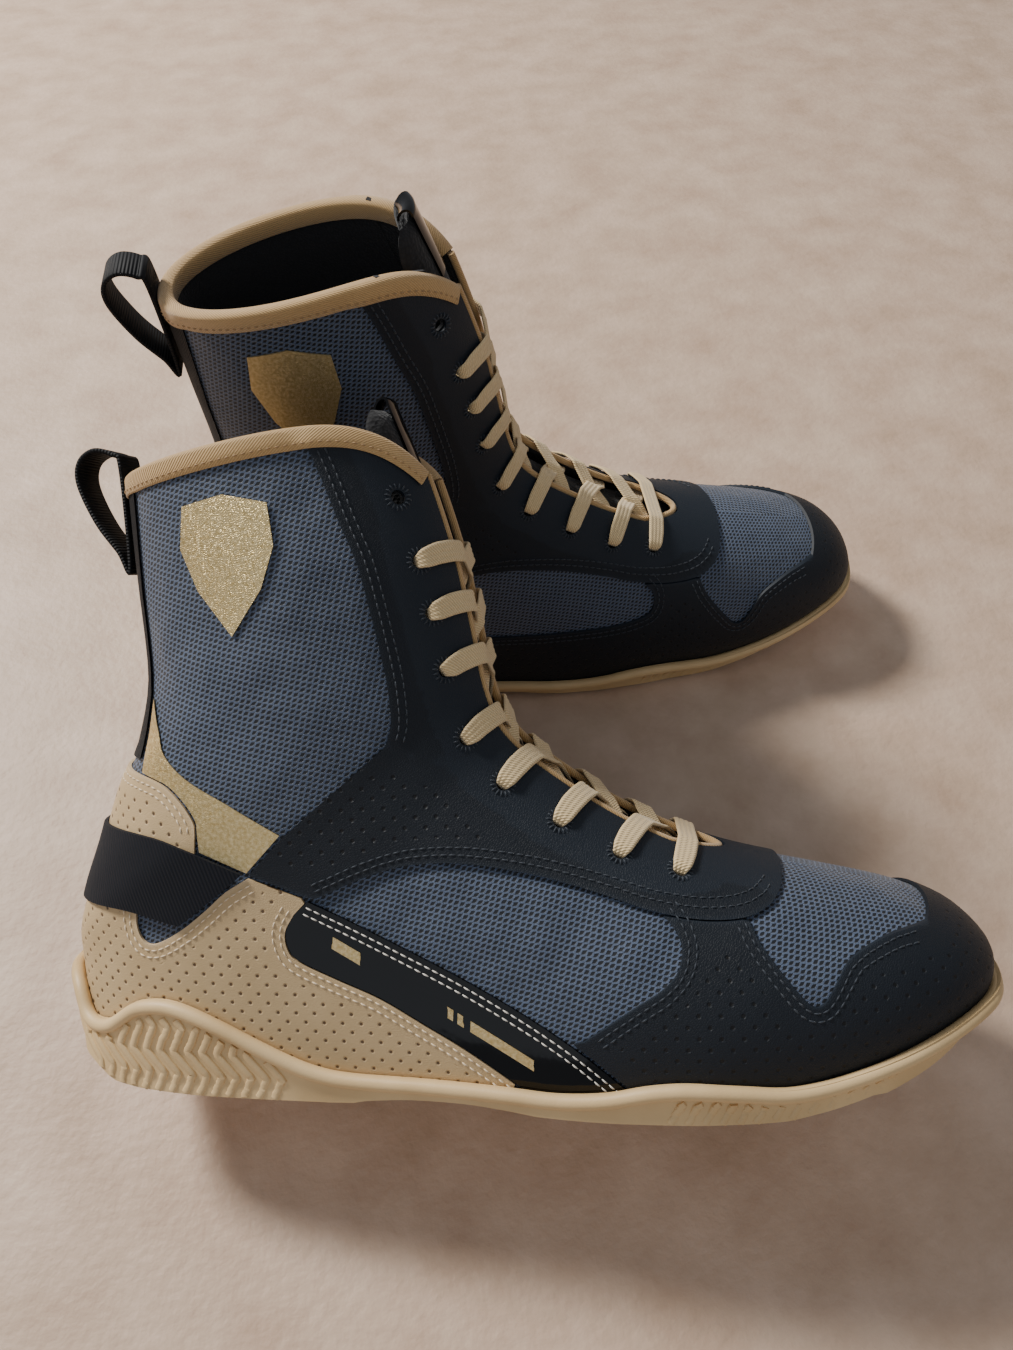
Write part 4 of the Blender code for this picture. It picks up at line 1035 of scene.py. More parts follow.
# Points down the throat edge on the outer side, round its end and up the inner side, with normals.
def openEdge():
    u = np.concatenate([np.linspace(20.5, 7.0, 60)[:-1], 6.0 + np.linspace(1, 0, 16) ** 2])
    both = []
    for side in (-1, 1):
        phi = phiAt(u, throatHalf(u))
        both.append((skinAt(u, phi, side), skinNormal(u, phi, side)))
    (p, n), (q, m) = both
    return np.concatenate([p, q[::-1][1:]]), np.concatenate([n, m[::-1][1:]])


# Mesh cloth of the forefoot and the shaft.
clothSet = {"columns": 34, "gapBase": 25.0}
for piece, rows, node in (("forefootMesh", "toe", "forefoot_mesh"), ("shaftMesh", "shaft", "shaft_mesh")):
    obj = sheetMesh(piece, upperRows[rows], layers["clothIn"], 0.0, fromRidge=clothStart, **clothSet)
    onBothBoots(piece, finished(obj), materials["slate"], [node])
print("mesh cloth is made")

# Lining inside the upper.
liningRows = np.concatenate([np.linspace(0.6, 16.0, 60), fineTop])
liningSet = {"fromRidge": clothStart, "columns": 26, "gapBase": 25.0, "hem": 2.2}
obj = sheetMesh("lining", liningRows, layers["liningIn"], layers["liningOut"], **liningSet)
onBothBoots("lining", finished(obj), materials["lining"], ["lining"])
print("lining is made")


# Holes for the laces.
eyeletSet = {
    "k": (6.75, 7.75, 8.75, 9.9, 11.5, 14.4, 17.0, 18.7, 20.25),
    "inset": 13.0, "radius": 2.3, "sides": 28, "drill": 9.0}


def eyeletFrame(k, side, height=0.0):
    phi = phiAt(np.array([k]), throatHalf([k]) + eyeletSet["inset"])
    p = skinAt(np.array([k]), phi, side)[0]
    n = skinNormal(np.array([k]), phi, side)[0]
    along = unit(skinAt(k + 0.05, phi, side)[0] - skinAt(k - 0.05, phi, side)[0])
    return p + n * height, n, along


def eyeletDrill():
    bm = bmesh.new()
    for k in eyeletSet["k"]:
        for side in (-1, 1):
            p, n, along = eyeletFrame(k, side)
            turn = Vector(n).to_track_quat("Z", "Y").to_matrix().to_4x4()
            bmesh.ops.create_cone(
                bm, cap_ends=True, segments=eyeletSet["sides"], radius1=eyeletSet["radius"] * mm,
                radius2=eyeletSet["radius"] * mm, depth=eyeletSet["drill"] * mm,
                matrix=Matrix.Translation(Vector(p) * mm) @ turn)
    mesh = bpy.data.meshes.new("eyeletDrill")
    bm.to_mesh(mesh)
    bm.free()
    return workObject("eyeletDrill", mesh)


# Distance of each point from the throat edge along its section, in mm.
def throatGapOf(mesh):
    points = np.array([v.co for v in mesh.vertices]) / mm
    k, phi = locate(points[:, [0, 2]])
    table = arcTable(k)
    steps = bootShape["arcSteps"]
    run = np.take_along_axis(table, np.clip((phi * steps).astype(int), 0, steps)[:, None], -1)[:, 0]
    return run - throatHalf(k)


# Eyelet strip and instep overlay.
staySet = {"plain": 20.0}
obj = sheetMesh("eyestay", upperRows["stay"], *overLayer, fromRidge=throatHalf, columns=44)
cutters = trimmed(obj, stayOutline, stayOutline)
cutters.append(cut(obj, eyeletDrill()))
mesh = finished(obj, cutters, [(line("stayLow") + line("shaftMesh")[::-1][:1], 0), (line("shaftMesh"), 0)])
gap = np.array([item.value for item in mesh.attributes["edgeGap"].data])
gap = np.minimum(gap, throatGapOf(mesh) - staySet["plain"])
mesh.attributes["edgeGap"].data.foreach_set("value", gap.astype(np.float32))
onBothBoots("eyestay", mesh, materials["navy"], ["eyestay"])
print("eyestay is made")

# Toe cap.
obj = sheetMesh("toeCap", upperRows["toe"], *overLayer, columns=44)
cutters = trimmed(obj, capOuter, capInner)
edges = [(line("toeMesh"), 0), (lowStay, 0), (line("quarterRight"), -1), (line("innerMesh"), 1)]
edges.append((line("bandTop"), -1))
onBothBoots("toeCap", finished(obj, cutters, edges), materials["navy"], ["toe_cap"])
print("toe cap is made")

# Beige heel quarter.
obj = sheetMesh("heelQuarter", upperRows["heel"], *overLayer, columns=48)
cutters = trimmed(obj, heelOuter, heelInner)
innerFront = [(100.0, 0.0), (98.0, 20.0), (97.0, 45.0), (92.0, 62.0)]
edges = [(line("tab"), 0), (notchLine[:-1], 0), (line("bandLow"), -1), (innerFront, 1)]
onBothBoots("heelQuarter", finished(obj, cutters, edges), materials["tan"], ["heel_quarter"])
print("heel quarter is made")

# Gold films at the ankle and gold shields on the shaft.
filmOutline = [(32.5, 104.0)] + shifted([p for p in line("tab") if p[0] > 39.0], 0.6, 0.6)
filmOutline += [(54.0, 80.5), (69.0, 74.0), (80.0, 85.6)] + line("meshLow")[:-3] + [(35.5, 127.0)]
shieldOutline = [tuple(p) for p in sampled(sideLines["shield"], 1, closed=True)]
for word, side in (("Outer", -1), ("Inner", 1)):
    cad = "lateral" if side < 0 else "medial"
    obj = sheetMesh("ankleFilm", upperRows["ankle"], *filmLayer, (side,), columns=48)
    mesh = finished(obj, trimmed(obj, only=filmOutline))
    onBothBoots("ankleFilm" + word, mesh, materials["gold"], ["ankle_film_" + cad])
    obj = sheetMesh("shield", upperRows["top"], *filmLayer, (side,), columns=48)
    mesh = finished(obj, trimmed(obj, only=shieldOutline))
    onBothBoots("shield" + word, mesh, materials["gold"], ["emblem_" + cad])
print("gold pieces are made")

# Glossy band across the outer side, with its bars.
bandOutline = line("bandTop") + [(196.0, -2.0)] + line("bandLow")[::-1]
obj = sheetMesh("sideBand", upperRows["band"], *overLayer, (-1,), columns=60)
mesh = finished(obj, trimmed(obj, only=bandOutline))
onBothBoots("sideBand", mesh, materials["patent"], ["side_band"])


# One gold bar below the band's stitches, at distances along and across the band's top edge.
def bandBar(start, end, low, high, skew=1.5):
    direction = np.array([0.868, -0.497])
    down = np.array([-0.497, -0.868])
    first = np.array(sideLines["bandTop"][0])
    across = np.linspace(low, high, 5)
    along = np.linspace(start, end, max(int((end - start) / 1.5), 3))
    grid = first + along[:, None, None] * direction + across[None, :, None] * down
    grid = grid + (across - low)[None, :, None] / (high - low) * skew * direction
    k, phi = locate(grid.reshape(-1, 2))
    points = skinAt(k, phi, -1) + skinNormal(k, phi, -1) * (layers["overOut"] + 0.12)
    return meshOf("bar", points, gridFaces(len(along), len(across)), flatPattern(k, phi))


barSet = {
    "bars": ((12.0, 22.0, 5.6, 9.0), (53.0, 55.0, 6.0, 9.0), (56.6, 58.6, 6.0, 9.0), (61.0, 83.0, 6.0, 9.0)),
    "thickness": 0.25}
bars = []
for bar in barSet["bars"]:
    bars.append(applied(thickened(workObject("bar", bandBar(*bar)), barSet["thickness"])))
onBothBoots("bandBars", smoothFaces(joined(bars, "bandBars")), materials["gold"])
print("side band is made")

# Elastic strap round the heel: a ribbed band.
strapOutline = line("strapTop") + [(62.0, 69.0), (54.0, 63.0)] + line("strapLow")[::-1]
strapOutline += [(-40.0, 58.0), (-40.0, 84.5)]
obj = sheetMesh("heelStrap", upperRows["strap"], layers["strapIn"], layers["strapOut"], columns=48)
mesh = finished(obj, trimmed(obj, strapOutline, strapOutline))
onBothBoots("heelStrap", mesh, materials["elastic"], ["heel_strap"])

# Webbing strip up the back.
stripOutline = [(32.5, 240.0), (32.5, 160.0), (34.0, 128.0), (31.0, 108.0), (-10.0, 108.0), (-10.0, 240.0)]
obj = sheetMesh("backStrip", upperRows["top"], layers["overIn"], 1.0, columns=48)
mesh = finished(obj, trimmed(obj, stripOutline, stripOutline))
onBothBoots("backStrip", mesh, materials["webbing"], ["back_strip"])
print("straps are made")


# Folded tape round the collar.
bindingSet = {"down": 5.4, "inside": 5.0, "thickness": 0.7, "steps": 90, "inner": -3.0}


def collarLine(height=0.0, steps=None):
    steps = steps or bindingSet["steps"]
    grids = [sheetGrid(side, [22.0], height, fromRidge=throatHalf, columns=steps)[0][0] for side in (-1, 1)]
    return np.concatenate([grids[0], grids[1][::-1][1:]])


edge = collarLine()
normals = collarLine(1.0) - edge
across, out = pathFrames(edge, normals)
near = np.clip((edge[:, 0] - 88.0) / 6.0, 0, 1)
back = np.clip((34.0 - edge[:, 0]) / 3.0, 0, 1)
lift = 0.25 + 1.2 * near + 0.8 * back
t = bindingSet["thickness"]
inner = bindingSet["inner"]
down = -bindingSet["down"]
inside = -bindingSet["inside"]
profile = []
for raised in lift:
    top = max(raised, 1.0)
    outerFace = [(down, raised + t * 0.3), (down + 0.4, raised + t)]
    outerFace += [(-2.6, raised + t * 1.2), (0.0, top + t * 1.2)]
    arch = []
    for turn in np.linspace(15, 165, 7):
        reach = math.radians(turn)
        centre = (top + t + inner - t) / 2.0
        half = (top + t - inner + t) / 2.0
        arch.append((0.3 + 1.5 * math.sin(reach), centre + half * math.cos(reach)))
    innerFace = [(0.0, inner - t), (inside + 0.4, inner - t * 0.8), (inside, inner - t * 0.2)]
    innerFace += [(inside + 0.3, inner), (-0.6, inner), (0.5, inner + 0.7), (0.7, (raised + inner) / 2.0), (0.5, raised - 0.5)]
    innerFace += [(-0.6, raised), (down + 0.1, raised)]
    profile.append(outerFace + arch + innerFace)
mesh = smoothFaces(fixNormals(sweep("collarBinding", edge, across, out, np.array(profile))), 50.0)
onBothBoots("collarBinding", mesh, materials["binding"], ["collar_binding"])
stitchPath = edge - across * 3.7 + out * (lift + t * 1.12)[:, None]
mesh = seamMesh("bindingStitches", [stitchesAlong(stitchPath, out, radius=0.3, pitch=2.6, length=1.5)])
onBothBoots("bindingStitches", mesh, materials["darkThread"])
print("collar binding is made")

# Round piping down the throat edges.
pipingSet = {"radius": 1.35, "reach": 1.75, "height": -0.1, "sides": 12}


def roundProfile(radius, sides, squash=1.0):
    turn = np.linspace(0, 2 * math.pi, sides, endpoint=False)
    return np.stack([radius * np.cos(turn), radius * squash * np.sin(turn)], -1)


edge, normals = openEdge()
across, out = pathFrames(edge, normals)
path = edge - across * pipingSet["reach"] + out * pipingSet["height"]
path = resampled(path, 1.1)
pathNormals = resampled(np.concatenate([edge - across * pipingSet["reach"], out], 1), 1.1)[:, 3:]
count = min(len(path), len(pathNormals))
across, out = pathFrames(path[:count], pathNormals[:count])
mesh = sweep("throatPiping", path[:count], across, out, roundProfile(pipingSet["radius"], pipingSet["sides"]))
mesh = smoothFaces(fixNormals(mesh), 60.0)
onBothBoots("throatPiping", mesh, materials["binding"], ["throat_piping"])
print("piping is made")


# The lace: one flat ribbed band through the lower eight rows of holes.
laceSet = {"width": 7.0, "thickness": 1.15, "high": 2.7, "low": -3.0, "slim": 3.4, "laced": 8, "pitch": 0.7,
           "soften": 3, "lift": 0.95, "ribs": 4}


def laceMark(k, distance, side, offset, width=None, thickness=None):
    k = np.array([k])
    phi = phiAt(k, max(distance, 0.0))
    along = unit(skinAt(k + 0.05, phi, side)[0] - skinAt(k - 0.05, phi, side)[0])
    p = (skinAt(k, phi, side) + skinNormal(k, phi, side) * offset)[0]
    return np.concatenate([p, along, [width or laceSet["width"], thickness or laceSet["thickness"]]])


def throughHole(k, side):
    at = throatHalf(k) + eyeletSet["inset"]
    return [
        laceMark(k, at - 1.2, side, laceSet["high"] + 0.3, 6.2, 1.2),
        laceMark(k, at + 0.5, side, laceSet["high"] - 0.9, 4.4, 1.5),
        laceMark(k, at, side, laceSet["low"] - 0.2, laceSet["slim"], 1.5),
    ]


def laceCrossing(k0, side, k1, lift):
    step = k1 - k0
    near = throatHalf(k0)
    far = throatHalf(k1)
    high = laceSet["high"]
    low = laceSet["low"]
    return [
        laceMark(k0 + 0.04 * step, near + 5.0, side, low),
        laceMark(k0 + 0.12 * step, near, side, low),
        laceMark(k0 + 0.22 * step, near - 6.0, side, low),
        laceMark(k0 + 0.5 * step, 0.0, -1, -1.3 + lift),
        laceMark(k1 - 0.17 * step, far - 3.5, -side, high - 0.3),
        laceMark(k1 - 0.09 * step, far + 1.5, -side, high),
        laceMark(k1 - 0.03 * step, far + 6.5, -side, high - 0.1),
    ]


def laceStrand(first, lift):
    ks = eyeletSet["k"][:laceSet["laced"]]
    side = first
    marks = throughHole(ks[0], side)
    for a, b in zip(ks, ks[1:]):
        marks += laceCrossing(a, side, b, lift)
        side = -side
        marks += throughHole(b, side)
    k = ks[-1]
    half = throatHalf(k)
    marks.append(laceMark(k + 0.15, half + 7.0, side, laceSet["low"]))
    marks.append(laceMark(k + 0.45, half + 4.5, side, laceSet["low"]))
    return marks


def softened(rows, times):
    for i in range(times):
        middle = (rows[:-2] + 2 * rows[1:-1] + rows[2:]) / 4.0
        rows = np.concatenate([rows[:1], middle, rows[-1:]])
    return rows


half = throatHalf(eyeletSet["k"][0])
bar = [laceMark(eyeletSet["k"][0], half + reach, side, laceSet["high"] + extra)
       for side, reach, extra in ((1, 6.0, -0.1), (1, -0.5, 0.1), (-1, -0.5, 0.1), (-1, 6.0, -0.1))]
marks = np.array(laceStrand(1, laceSet["lift"])[::-1] + bar + laceStrand(-1, -laceSet["lift"]))
run = np.concatenate([[0], np.cumsum(np.linalg.norm(np.diff(marks[:, :3], axis=0), axis=1))])
places = np.linspace(0, run[-1], int(run[-1] / laceSet["pitch"]))
rows = softened(np.stack([np.interp(places, run, marks[:, i]) for i in range(8)], -1), laceSet["soften"])
ahead = unit(np.gradient(rows[:, :3], axis=0))
wide = rows[:, 3:6]
wide = unit(wide - ahead * (wide * ahead).sum(1, keepdims=True))
out = np.cross(ahead, wide)
a = np.concatenate([np.linspace(-1, 1, 17), np.linspace(1, -1, 17)])
ribbed = 0.66 + 0.34 * np.abs(np.sin(math.pi * laceSet["ribs"] * (a + 1) / 2.0)) ** 0.7
upper = np.where(np.arange(34) < 17, 1.0, -1.0)
edgeRound = np.sqrt(np.clip(1 - np.abs(a) ** 10, 0.05, 1))
flatness = (upper * ribbed * edgeRound)[None]
profile = np.stack([a[None] * rows[:, 6:7] / 2.0, flatness * rows[:, 7:8] / 2.0], -1)
mesh = sweep("lace", rows[:, :3], wide, out, profile)
print("lace is", round(float(run[-1])), "mm along")
onBothBoots("lace", smoothFaces(fixNormals(mesh), 70.0), materials["lace"], ["lace"])


# The padded tongue, and its glossy tab curled over the top.
tongueSet = {
    "half": 25.0, "middle": -7.9, "thickness": 4.6, "rows": 90, "columns": 40, "from": 5.3, "to": 22.45,
    "channel": 16.0, "quilt": 0.10, "uvStretch": 12.0}


def sectionPoint(k, distance, side, offset):
    phi = phiAt(k, np.abs(distance))
    return skinAt(k, phi, side) + skinNormal(k, phi, side) * offset[..., None]


def tongueBody(settings):
    v = np.linspace(0, 1, settings["rows"])
    s = np.linspace(-1, 1, settings["columns"] + 1)
    k = settings["from"] + (settings["to"] - settings["from"]) * v
    crown = np.clip((v - 0.93) / 0.07, 0, 1)
    low = np.clip(v / 0.1, 0, 1)
    wide = settings["half"] * (0.62 + 0.38 * low) * np.sqrt(np.clip(1 - 0.55 * crown ** 2.2, 0, 1))
    kGrid = np.broadcast_to(k[:, None], (len(k), len(s)))
    distance = wide[:, None] * s[None, :]
    side = np.where(s < 0, -1, 1)[None, :] + 0 * kGrid
    edge = np.sqrt(np.clip(1 - np.abs(s) ** 5, 0, 1))[None, :]
    edge = edge * np.sqrt(np.clip(1 - (1.02 * crown[:, None]) ** 4, 0.0, 1))
    edge = edge * np.sqrt(np.clip(low[:, None], 0.05, 1))
    quilt = 1 + settings["quilt"] * np.cos(2 * math.pi * distance / settings["channel"])
    half = settings["thickness"] / 2.0 * edge * quilt
    front = sectionPoint(kGrid, distance, side, settings["middle"] + half)
    rear = sectionPoint(kGrid, distance, side, settings["middle"] - half)
    rowCount, columnCount = kGrid.shape
    total = rowCount * columnCount
    back = gridFaces(rowCount, columnCount, total)[:, ::-1]
    faces = [tuple(f) for f in np.concatenate([gridFaces(rowCount, columnCount), back])]
    index = np.arange(total).reshape(rowCount, columnCount)
    rim = [*index[:, 0], *index[-1, 1:], *index[-2::-1, -1], *index[0, -2:0:-1]]
    for i, a in enumerate(rim):
        b = rim[(i + 1) % len(rim)]
        faces.append((a, b, b + total, a + total))
    uv = np.stack([distance, k[:, None] * settings["uvStretch"] + 0 * distance], -1)
    points = np.concatenate([front.reshape(-1, 3), rear.reshape(-1, 3)])
    return meshOf("tongue", points, faces, np.concatenate([uv.reshape(-1, 2)] * 2), weld=0.005)


mesh = smoothFaces(tongueBody(tongueSet), 70.0)
for tongue in onBothBoots("tongue", mesh, materials["tongue"], ["tongue"], "tongue"):
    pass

trimSet = {"half": 9.0, "thickness": 0.8, "start": 20.7, "end": 22.55, "columns": 16}
k = np.linspace(trimSet["start"], trimSet["end"], 14)
s = np.linspace(-1, 1, trimSet["columns"] + 1)
kGrid = np.broadcast_to(k[:, None], (len(k), len(s)))
distance = trimSet["half"] * s[None, :] + 0 * kGrid
side = np.where(s < 0, -1, 1)[None, :] + 0 * kGrid
height = -5.15 + 0.0 * kGrid
front = sectionPoint(kGrid, distance, side, height)
top = front[-1]
behind = sectionPoint(kGrid[-1:], distance[-1:], side[-1:], height[-1:] - 5.6)[0]
curl = []
for turn in np.linspace(0, math.pi, 9)[1:]:
    centre = (top + behind) / 2.0
    radius = (top - behind) / 2.0
    rise = np.array([0.0, 0.0, 1.0]) * np.linalg.norm(radius, axis=-1, keepdims=True)
    curl.append(centre + radius * math.cos(turn) + rise * math.sin(turn))
strip = np.concatenate([front, np.array(curl)])
uv = np.stack(np.broadcast_arrays(s * trimSet["half"], np.arange(len(strip))[:, None] * 1.5), -1)
mesh = meshOf("tongueTrim", strip.reshape(-1, 3), gridFaces(*strip.shape[:2]), uv.reshape(-1, 2))
mesh = smoothFaces(applied(thickened(workObject("tongueTrim", mesh), trimSet["thickness"])), 50.0)
onBothBoots("tongueTrim", mesh, materials["patent"], ["tongue_trim"], "tongue")
print("tongue is made")

# Webbing pull loop behind the collar.
loopSet = {
    "width": 14.0, "thickness": 1.5,
    "line": ((23.2, 202.3), (20.5, 206.6), (14.2, 208.2), (9.0, 204.6), (8.3, 197.2), (13.6, 184.6),
             (20.4, 174.8), (24.0, 169.0))}
path = sampled(loopSet["line"], 8, closed=True)
path = np.stack([path[:, 0], np.zeros(len(path)), path[:, 1]], -1)
ahead = unit(np.roll(path, -1, 0) - np.roll(path, 1, 0))
across = np.tile([0.0, 1.0, 0.0], (len(path), 1))
out = np.cross(ahead, across)
w = loopSet["width"] / 2.0
h = loopSet["thickness"] / 2.0
band = [(-w + 0.4, -h), (w - 0.4, -h), (w, -h * 0.4), (w, h * 0.4)]
band += [(-x, -y) for x, y in band]
mesh = sweep("pullLoop", path, across, out, np.array(band), closed=True)
mesh = smoothFaces(fixNormals(mesh), 50.0)
onBothBoots("pullLoop", mesh, materials["webbing"], ["pull_loop"])
print("pull loop is made")


# Rubber cup sole: a thin cup with a rolled bead, zigzag ribs on its sides and ribs under it.
soleSet = {
    "rise": 1.2, "bead": 2.3, "beadDrop": 2.1, "beadOut": 0.4,
    "ribHeight": 0.75, "ribWide": 2.7, "ribPitch": 5.0, "zigRise": 8.0, "zigSwing": 5.0, "treadPitch": 5.6, "treadSwing": 4.5}


def soleBody(offset, reach, kValues, columns=40):
    rings = []
    for k in kValues:
        sides = []
        for side in (-1, 1):
            table = arcTable(np.array([k]))[0]
            phi = phiAt(np.full(columns + 1, k), table[-1] * np.linspace(0, 1, columns + 1))
            p = skinAt(np.full_like(phi, k), phi, side) + skinNormal(np.full_like(phi, k), phi, side) * offset
            if sectionAt(k)[5] < 2.6:
                p[-1, 2] -= reach
            sides.append(p)
        rings.append(np.concatenate([sides[0][::-1], sides[1][1:]]))
    size = len(rings[0])
    faces = []
    for i in range(len(rings) - 1):
        a = i * size
        b = a + size
        for j in range(size):
            q = (j + 1) % size
            faces.append((a + j, a + q, b + q, b + j))
    faces.append(tuple(range(size))[::-1])
    faces.append(tuple(range((len(rings) - 1) * size, len(rings) * size)))
    return meshOf("soleBody", np.concatenate(rings), faces, weld=0.0)


soleRows = np.concatenate([
    np.linspace(0.0, 1.0, 12), np.linspace(1.0, 14.0, 90)[1:], np.linspace(14.0, 17.0, 16)[1:]])
lowLine = [(x, z + soleSet["rise"] * (1 if z < 6 else 0)) for x, z in line("soleLow", 3)]
obj = workObject("outsole", soleBody(layers["soleClear"] + layers["soleWall"], 14.0, soleRows))
hollow = workObject("soleHollow", soleBody(layers["soleClear"], 1.8, soleRows))
sideView = plate(line("soleTop", 4) + lowLine, None, -halfDeep, halfDeep)
soleMesh = finished(obj, [cut(obj, sideView, "INTERSECT"), cut(obj, hollow)], corner=32.0)
soleTopX, soleTopZ = np.array(line("soleTop", 6)).T
soleLowX, soleLowZ = np.array(line("soleLow", 6)[::-1]).T


# Points and normals of the line that runs round the outer wall at a drop below its top edge.
def soleEdge(drop, offset):
    k = np.concatenate([
        np.linspace(0.02, 1.0, 160), np.linspace(1.0, 13.5, 400)[1:], np.linspace(13.5, 15.0, 260)[1:]])
    phi = np.linspace(0.0, 1.0, 240)
    kGrid = np.broadcast_to(k[:, None], (len(k), len(phi)))
    phiGrid = np.broadcast_to(phi[None, :], kGrid.shape)
    out = []
    for side in (-1, 1):
        n = skinNormal(kGrid, phiGrid, side)
        p = skinAt(kGrid, phiGrid, side) + n * offset
        above = p[..., 2] - (np.interp(p[..., 0], soleTopX, soleTopZ) - drop)
        places = []
        for i in range(len(k)):
            sign = np.nonzero((above[i, :-1] > 0) & (above[i, 1:] <= 0))[0]
            if len(sign):
                j = sign[-1]
                t = above[i, j] / (above[i, j] - above[i, j + 1])
                places.append(np.concatenate([p[i, j] + (p[i, j + 1] - p[i, j]) * t, n[i, j]]))
        places = np.array(places)
        out.append(resampled(places, 1.2))
    loop = np.concatenate([out[0][::-1], out[1]])
    return loop[:, :3], unit(loop[:, 3:])


edge, normals = soleEdge(soleSet["beadDrop"], layers["soleClear"] + layers["soleWall"] - soleSet["beadOut"])
both = np.concatenate([edge, normals], 1)
closedEdge = resampled(np.concatenate([both, both[:1]]), 1.3)[:-1]
closedEdge = softened(np.concatenate([closedEdge[-3:], closedEdge, closedEdge[:3]]), 3)[3:-3]
across, out = pathFrames(closedEdge[:, :3], unit(closedEdge[:, 3:]), closed=True)
bead = sweep("bead", closedEdge[:, :3], across, out, roundProfile(soleSet["bead"], 16), closed=True)
print("sole bead is", len(closedEdge), "steps round")


# Points on the outer wall that are seen at (x, z) from the side. The wall is the skin moved out.
def wallPoint(x, z, side):
    base = layers["soleClear"] + layers["soleWall"]
    target = np.stack([np.asarray(x, float), np.asarray(z, float)], -1)
    guess = target.copy()
    for step in range(4):
        k, phi = locate(guess)
        p = skinAt(k, phi, side) + skinNormal(k, phi, side) * base
        guess = guess + (target - p[:, [0, 2]]) * 0.8
    k, phi = locate(guess)
    n = skinNormal(k, phi, side)
    p = skinAt(k, phi, side) + n * base
    under = (p[:, 2] - target[:, 1] > 0.2) & (phi > 0.97)
    p[:, 2] = np.where(under, target[:, 1], p[:, 2])
    n = np.where(under[:, None], unit(n * [1.0, 1.0, 0.0]), n)
    return p, n


# Raised zigzag ribs between two x places, from the bead down to the rounded bottom edge.
def zigzagRibs(first, last, side):
    meshes = []
    for start in np.arange(first, last, soleSet["ribPitch"]):
        z = np.arange(0.9, 34.0, 0.7)
        phase = np.abs((z / soleSet["zigRise"]) % 2 - 1)
        x = start + soleSet["zigSwing"] * (1 - phase) - z * 0.12
        top = np.interp(x, soleTopX, soleTopZ) - soleSet["beadDrop"] - 2.9
        low = np.interp(x, soleLowX, soleLowZ) + 1.6
        keep = (z < top) & (z > low) & (x > first - 4.0)
        if keep.sum() < 4:
            continue
        points, normals = wallPoint(x[keep], z[keep], side)
        across, out = pathFrames(points, normals)
        w = soleSet["ribWide"] / 2.0
        h = soleSet["ribHeight"]
        half = [(w * 0.7, h), (w * 0.92, h * 0.55), (w, -0.6)]
        profile = np.array([(-x, z) for x, z in half[::-1]] + half)
        meshes.append(fixNormals(sweep("rib", points, across, out, profile)))
    return meshes


ribs = []
for side in (-1, 1):
    ribs += zigzagRibs(8.0, 76.0, side)
    ribs += zigzagRibs(196.0, 264.0, side)
print("sole ribs:", len(ribs))


# Shallow zigzag ribs under the sole, reaching down to the floor.
def treadRibs():
    meshes = []
    kFine = np.linspace(0.5, 14.5, 300)
    edges = {}
    for side in (-1, 1):
        bottom = skinAt(kFine, np.ones_like(kFine), side)
        order = bottom[:, 0].argsort()
        edges[side] = (bottom[order, 0], bottom[order, 1])
    pitch = soleSet["treadPitch"]
    for start in [*np.arange(30.0, 88.0, pitch), *np.arange(170.0, 222.0, pitch)]:
        outer = np.interp(start, *edges[-1])
        inner = np.interp(start, *edges[1])
        y = np.arange(outer + 1.0, inner - 1.0, 1.0)
        phase = np.abs((y / 9.0) % 2 - 1)
        x = start + soleSet["treadSwing"] * phase
        points = np.stack([x, y, np.full_like(y, soleSet["rise"])], -1)
        normals = np.tile([0.0, 0.0, -1.0], (len(y), 1))
        across, out = pathFrames(points, normals)
        h = soleSet["rise"]
        half = [(1.0, h), (1.2, h * 0.95), (1.5, -0.5)]
        profile = np.array([(-x, z) for x, z in half[::-1]] + half)
        meshes.append(fixNormals(sweep("tread", points, across, out, profile)))
    return meshes


tread = treadRibs()
parts = [soleMesh, smoothFaces(fixNormals(bead), 60.0)] + [smoothFaces(m, 50.0) for m in ribs + tread]
outsoleMesh = joined(parts, "outsole")
onBothBoots("outsole", outsoleMesh, materials["rubber"], ["outsole"])
print("outsole is made")


# Rings sewn round the lace holes.
ringSet = {"radius": 3.5, "thread": 0.28, "stitches": 16, "half": 0.95, "tip": 0.5, "rise": 0.22, "dip": 0.42}


def eyeletRings():
    verts, faces = [], []
    for k in eyeletSet["k"]:
        for side in (-1, 1):
            p, n, along = eyeletFrame(k, side, layers["overOut"])
            other = np.cross(n, along)
            for i in range(ringSet["stitches"]):
                turn = 2 * math.pi * i / ringSet["stitches"]
                ahead = along * math.cos(turn) + other * math.sin(turn)
                centre = p + ahead * ringSet["radius"]
                addBead(verts, faces, centre, ahead, np.cross(n, ahead), n, ringSet["half"], ringSet["thread"],
                        ringSet["tip"], ringSet["rise"], ringSet["dip"])
    return smoothFaces(meshOf("eyeletRings", verts, faces, weld=0.0), 80.0)


onBothBoots("eyeletRings", eyeletRings(), materials["navyThread"])

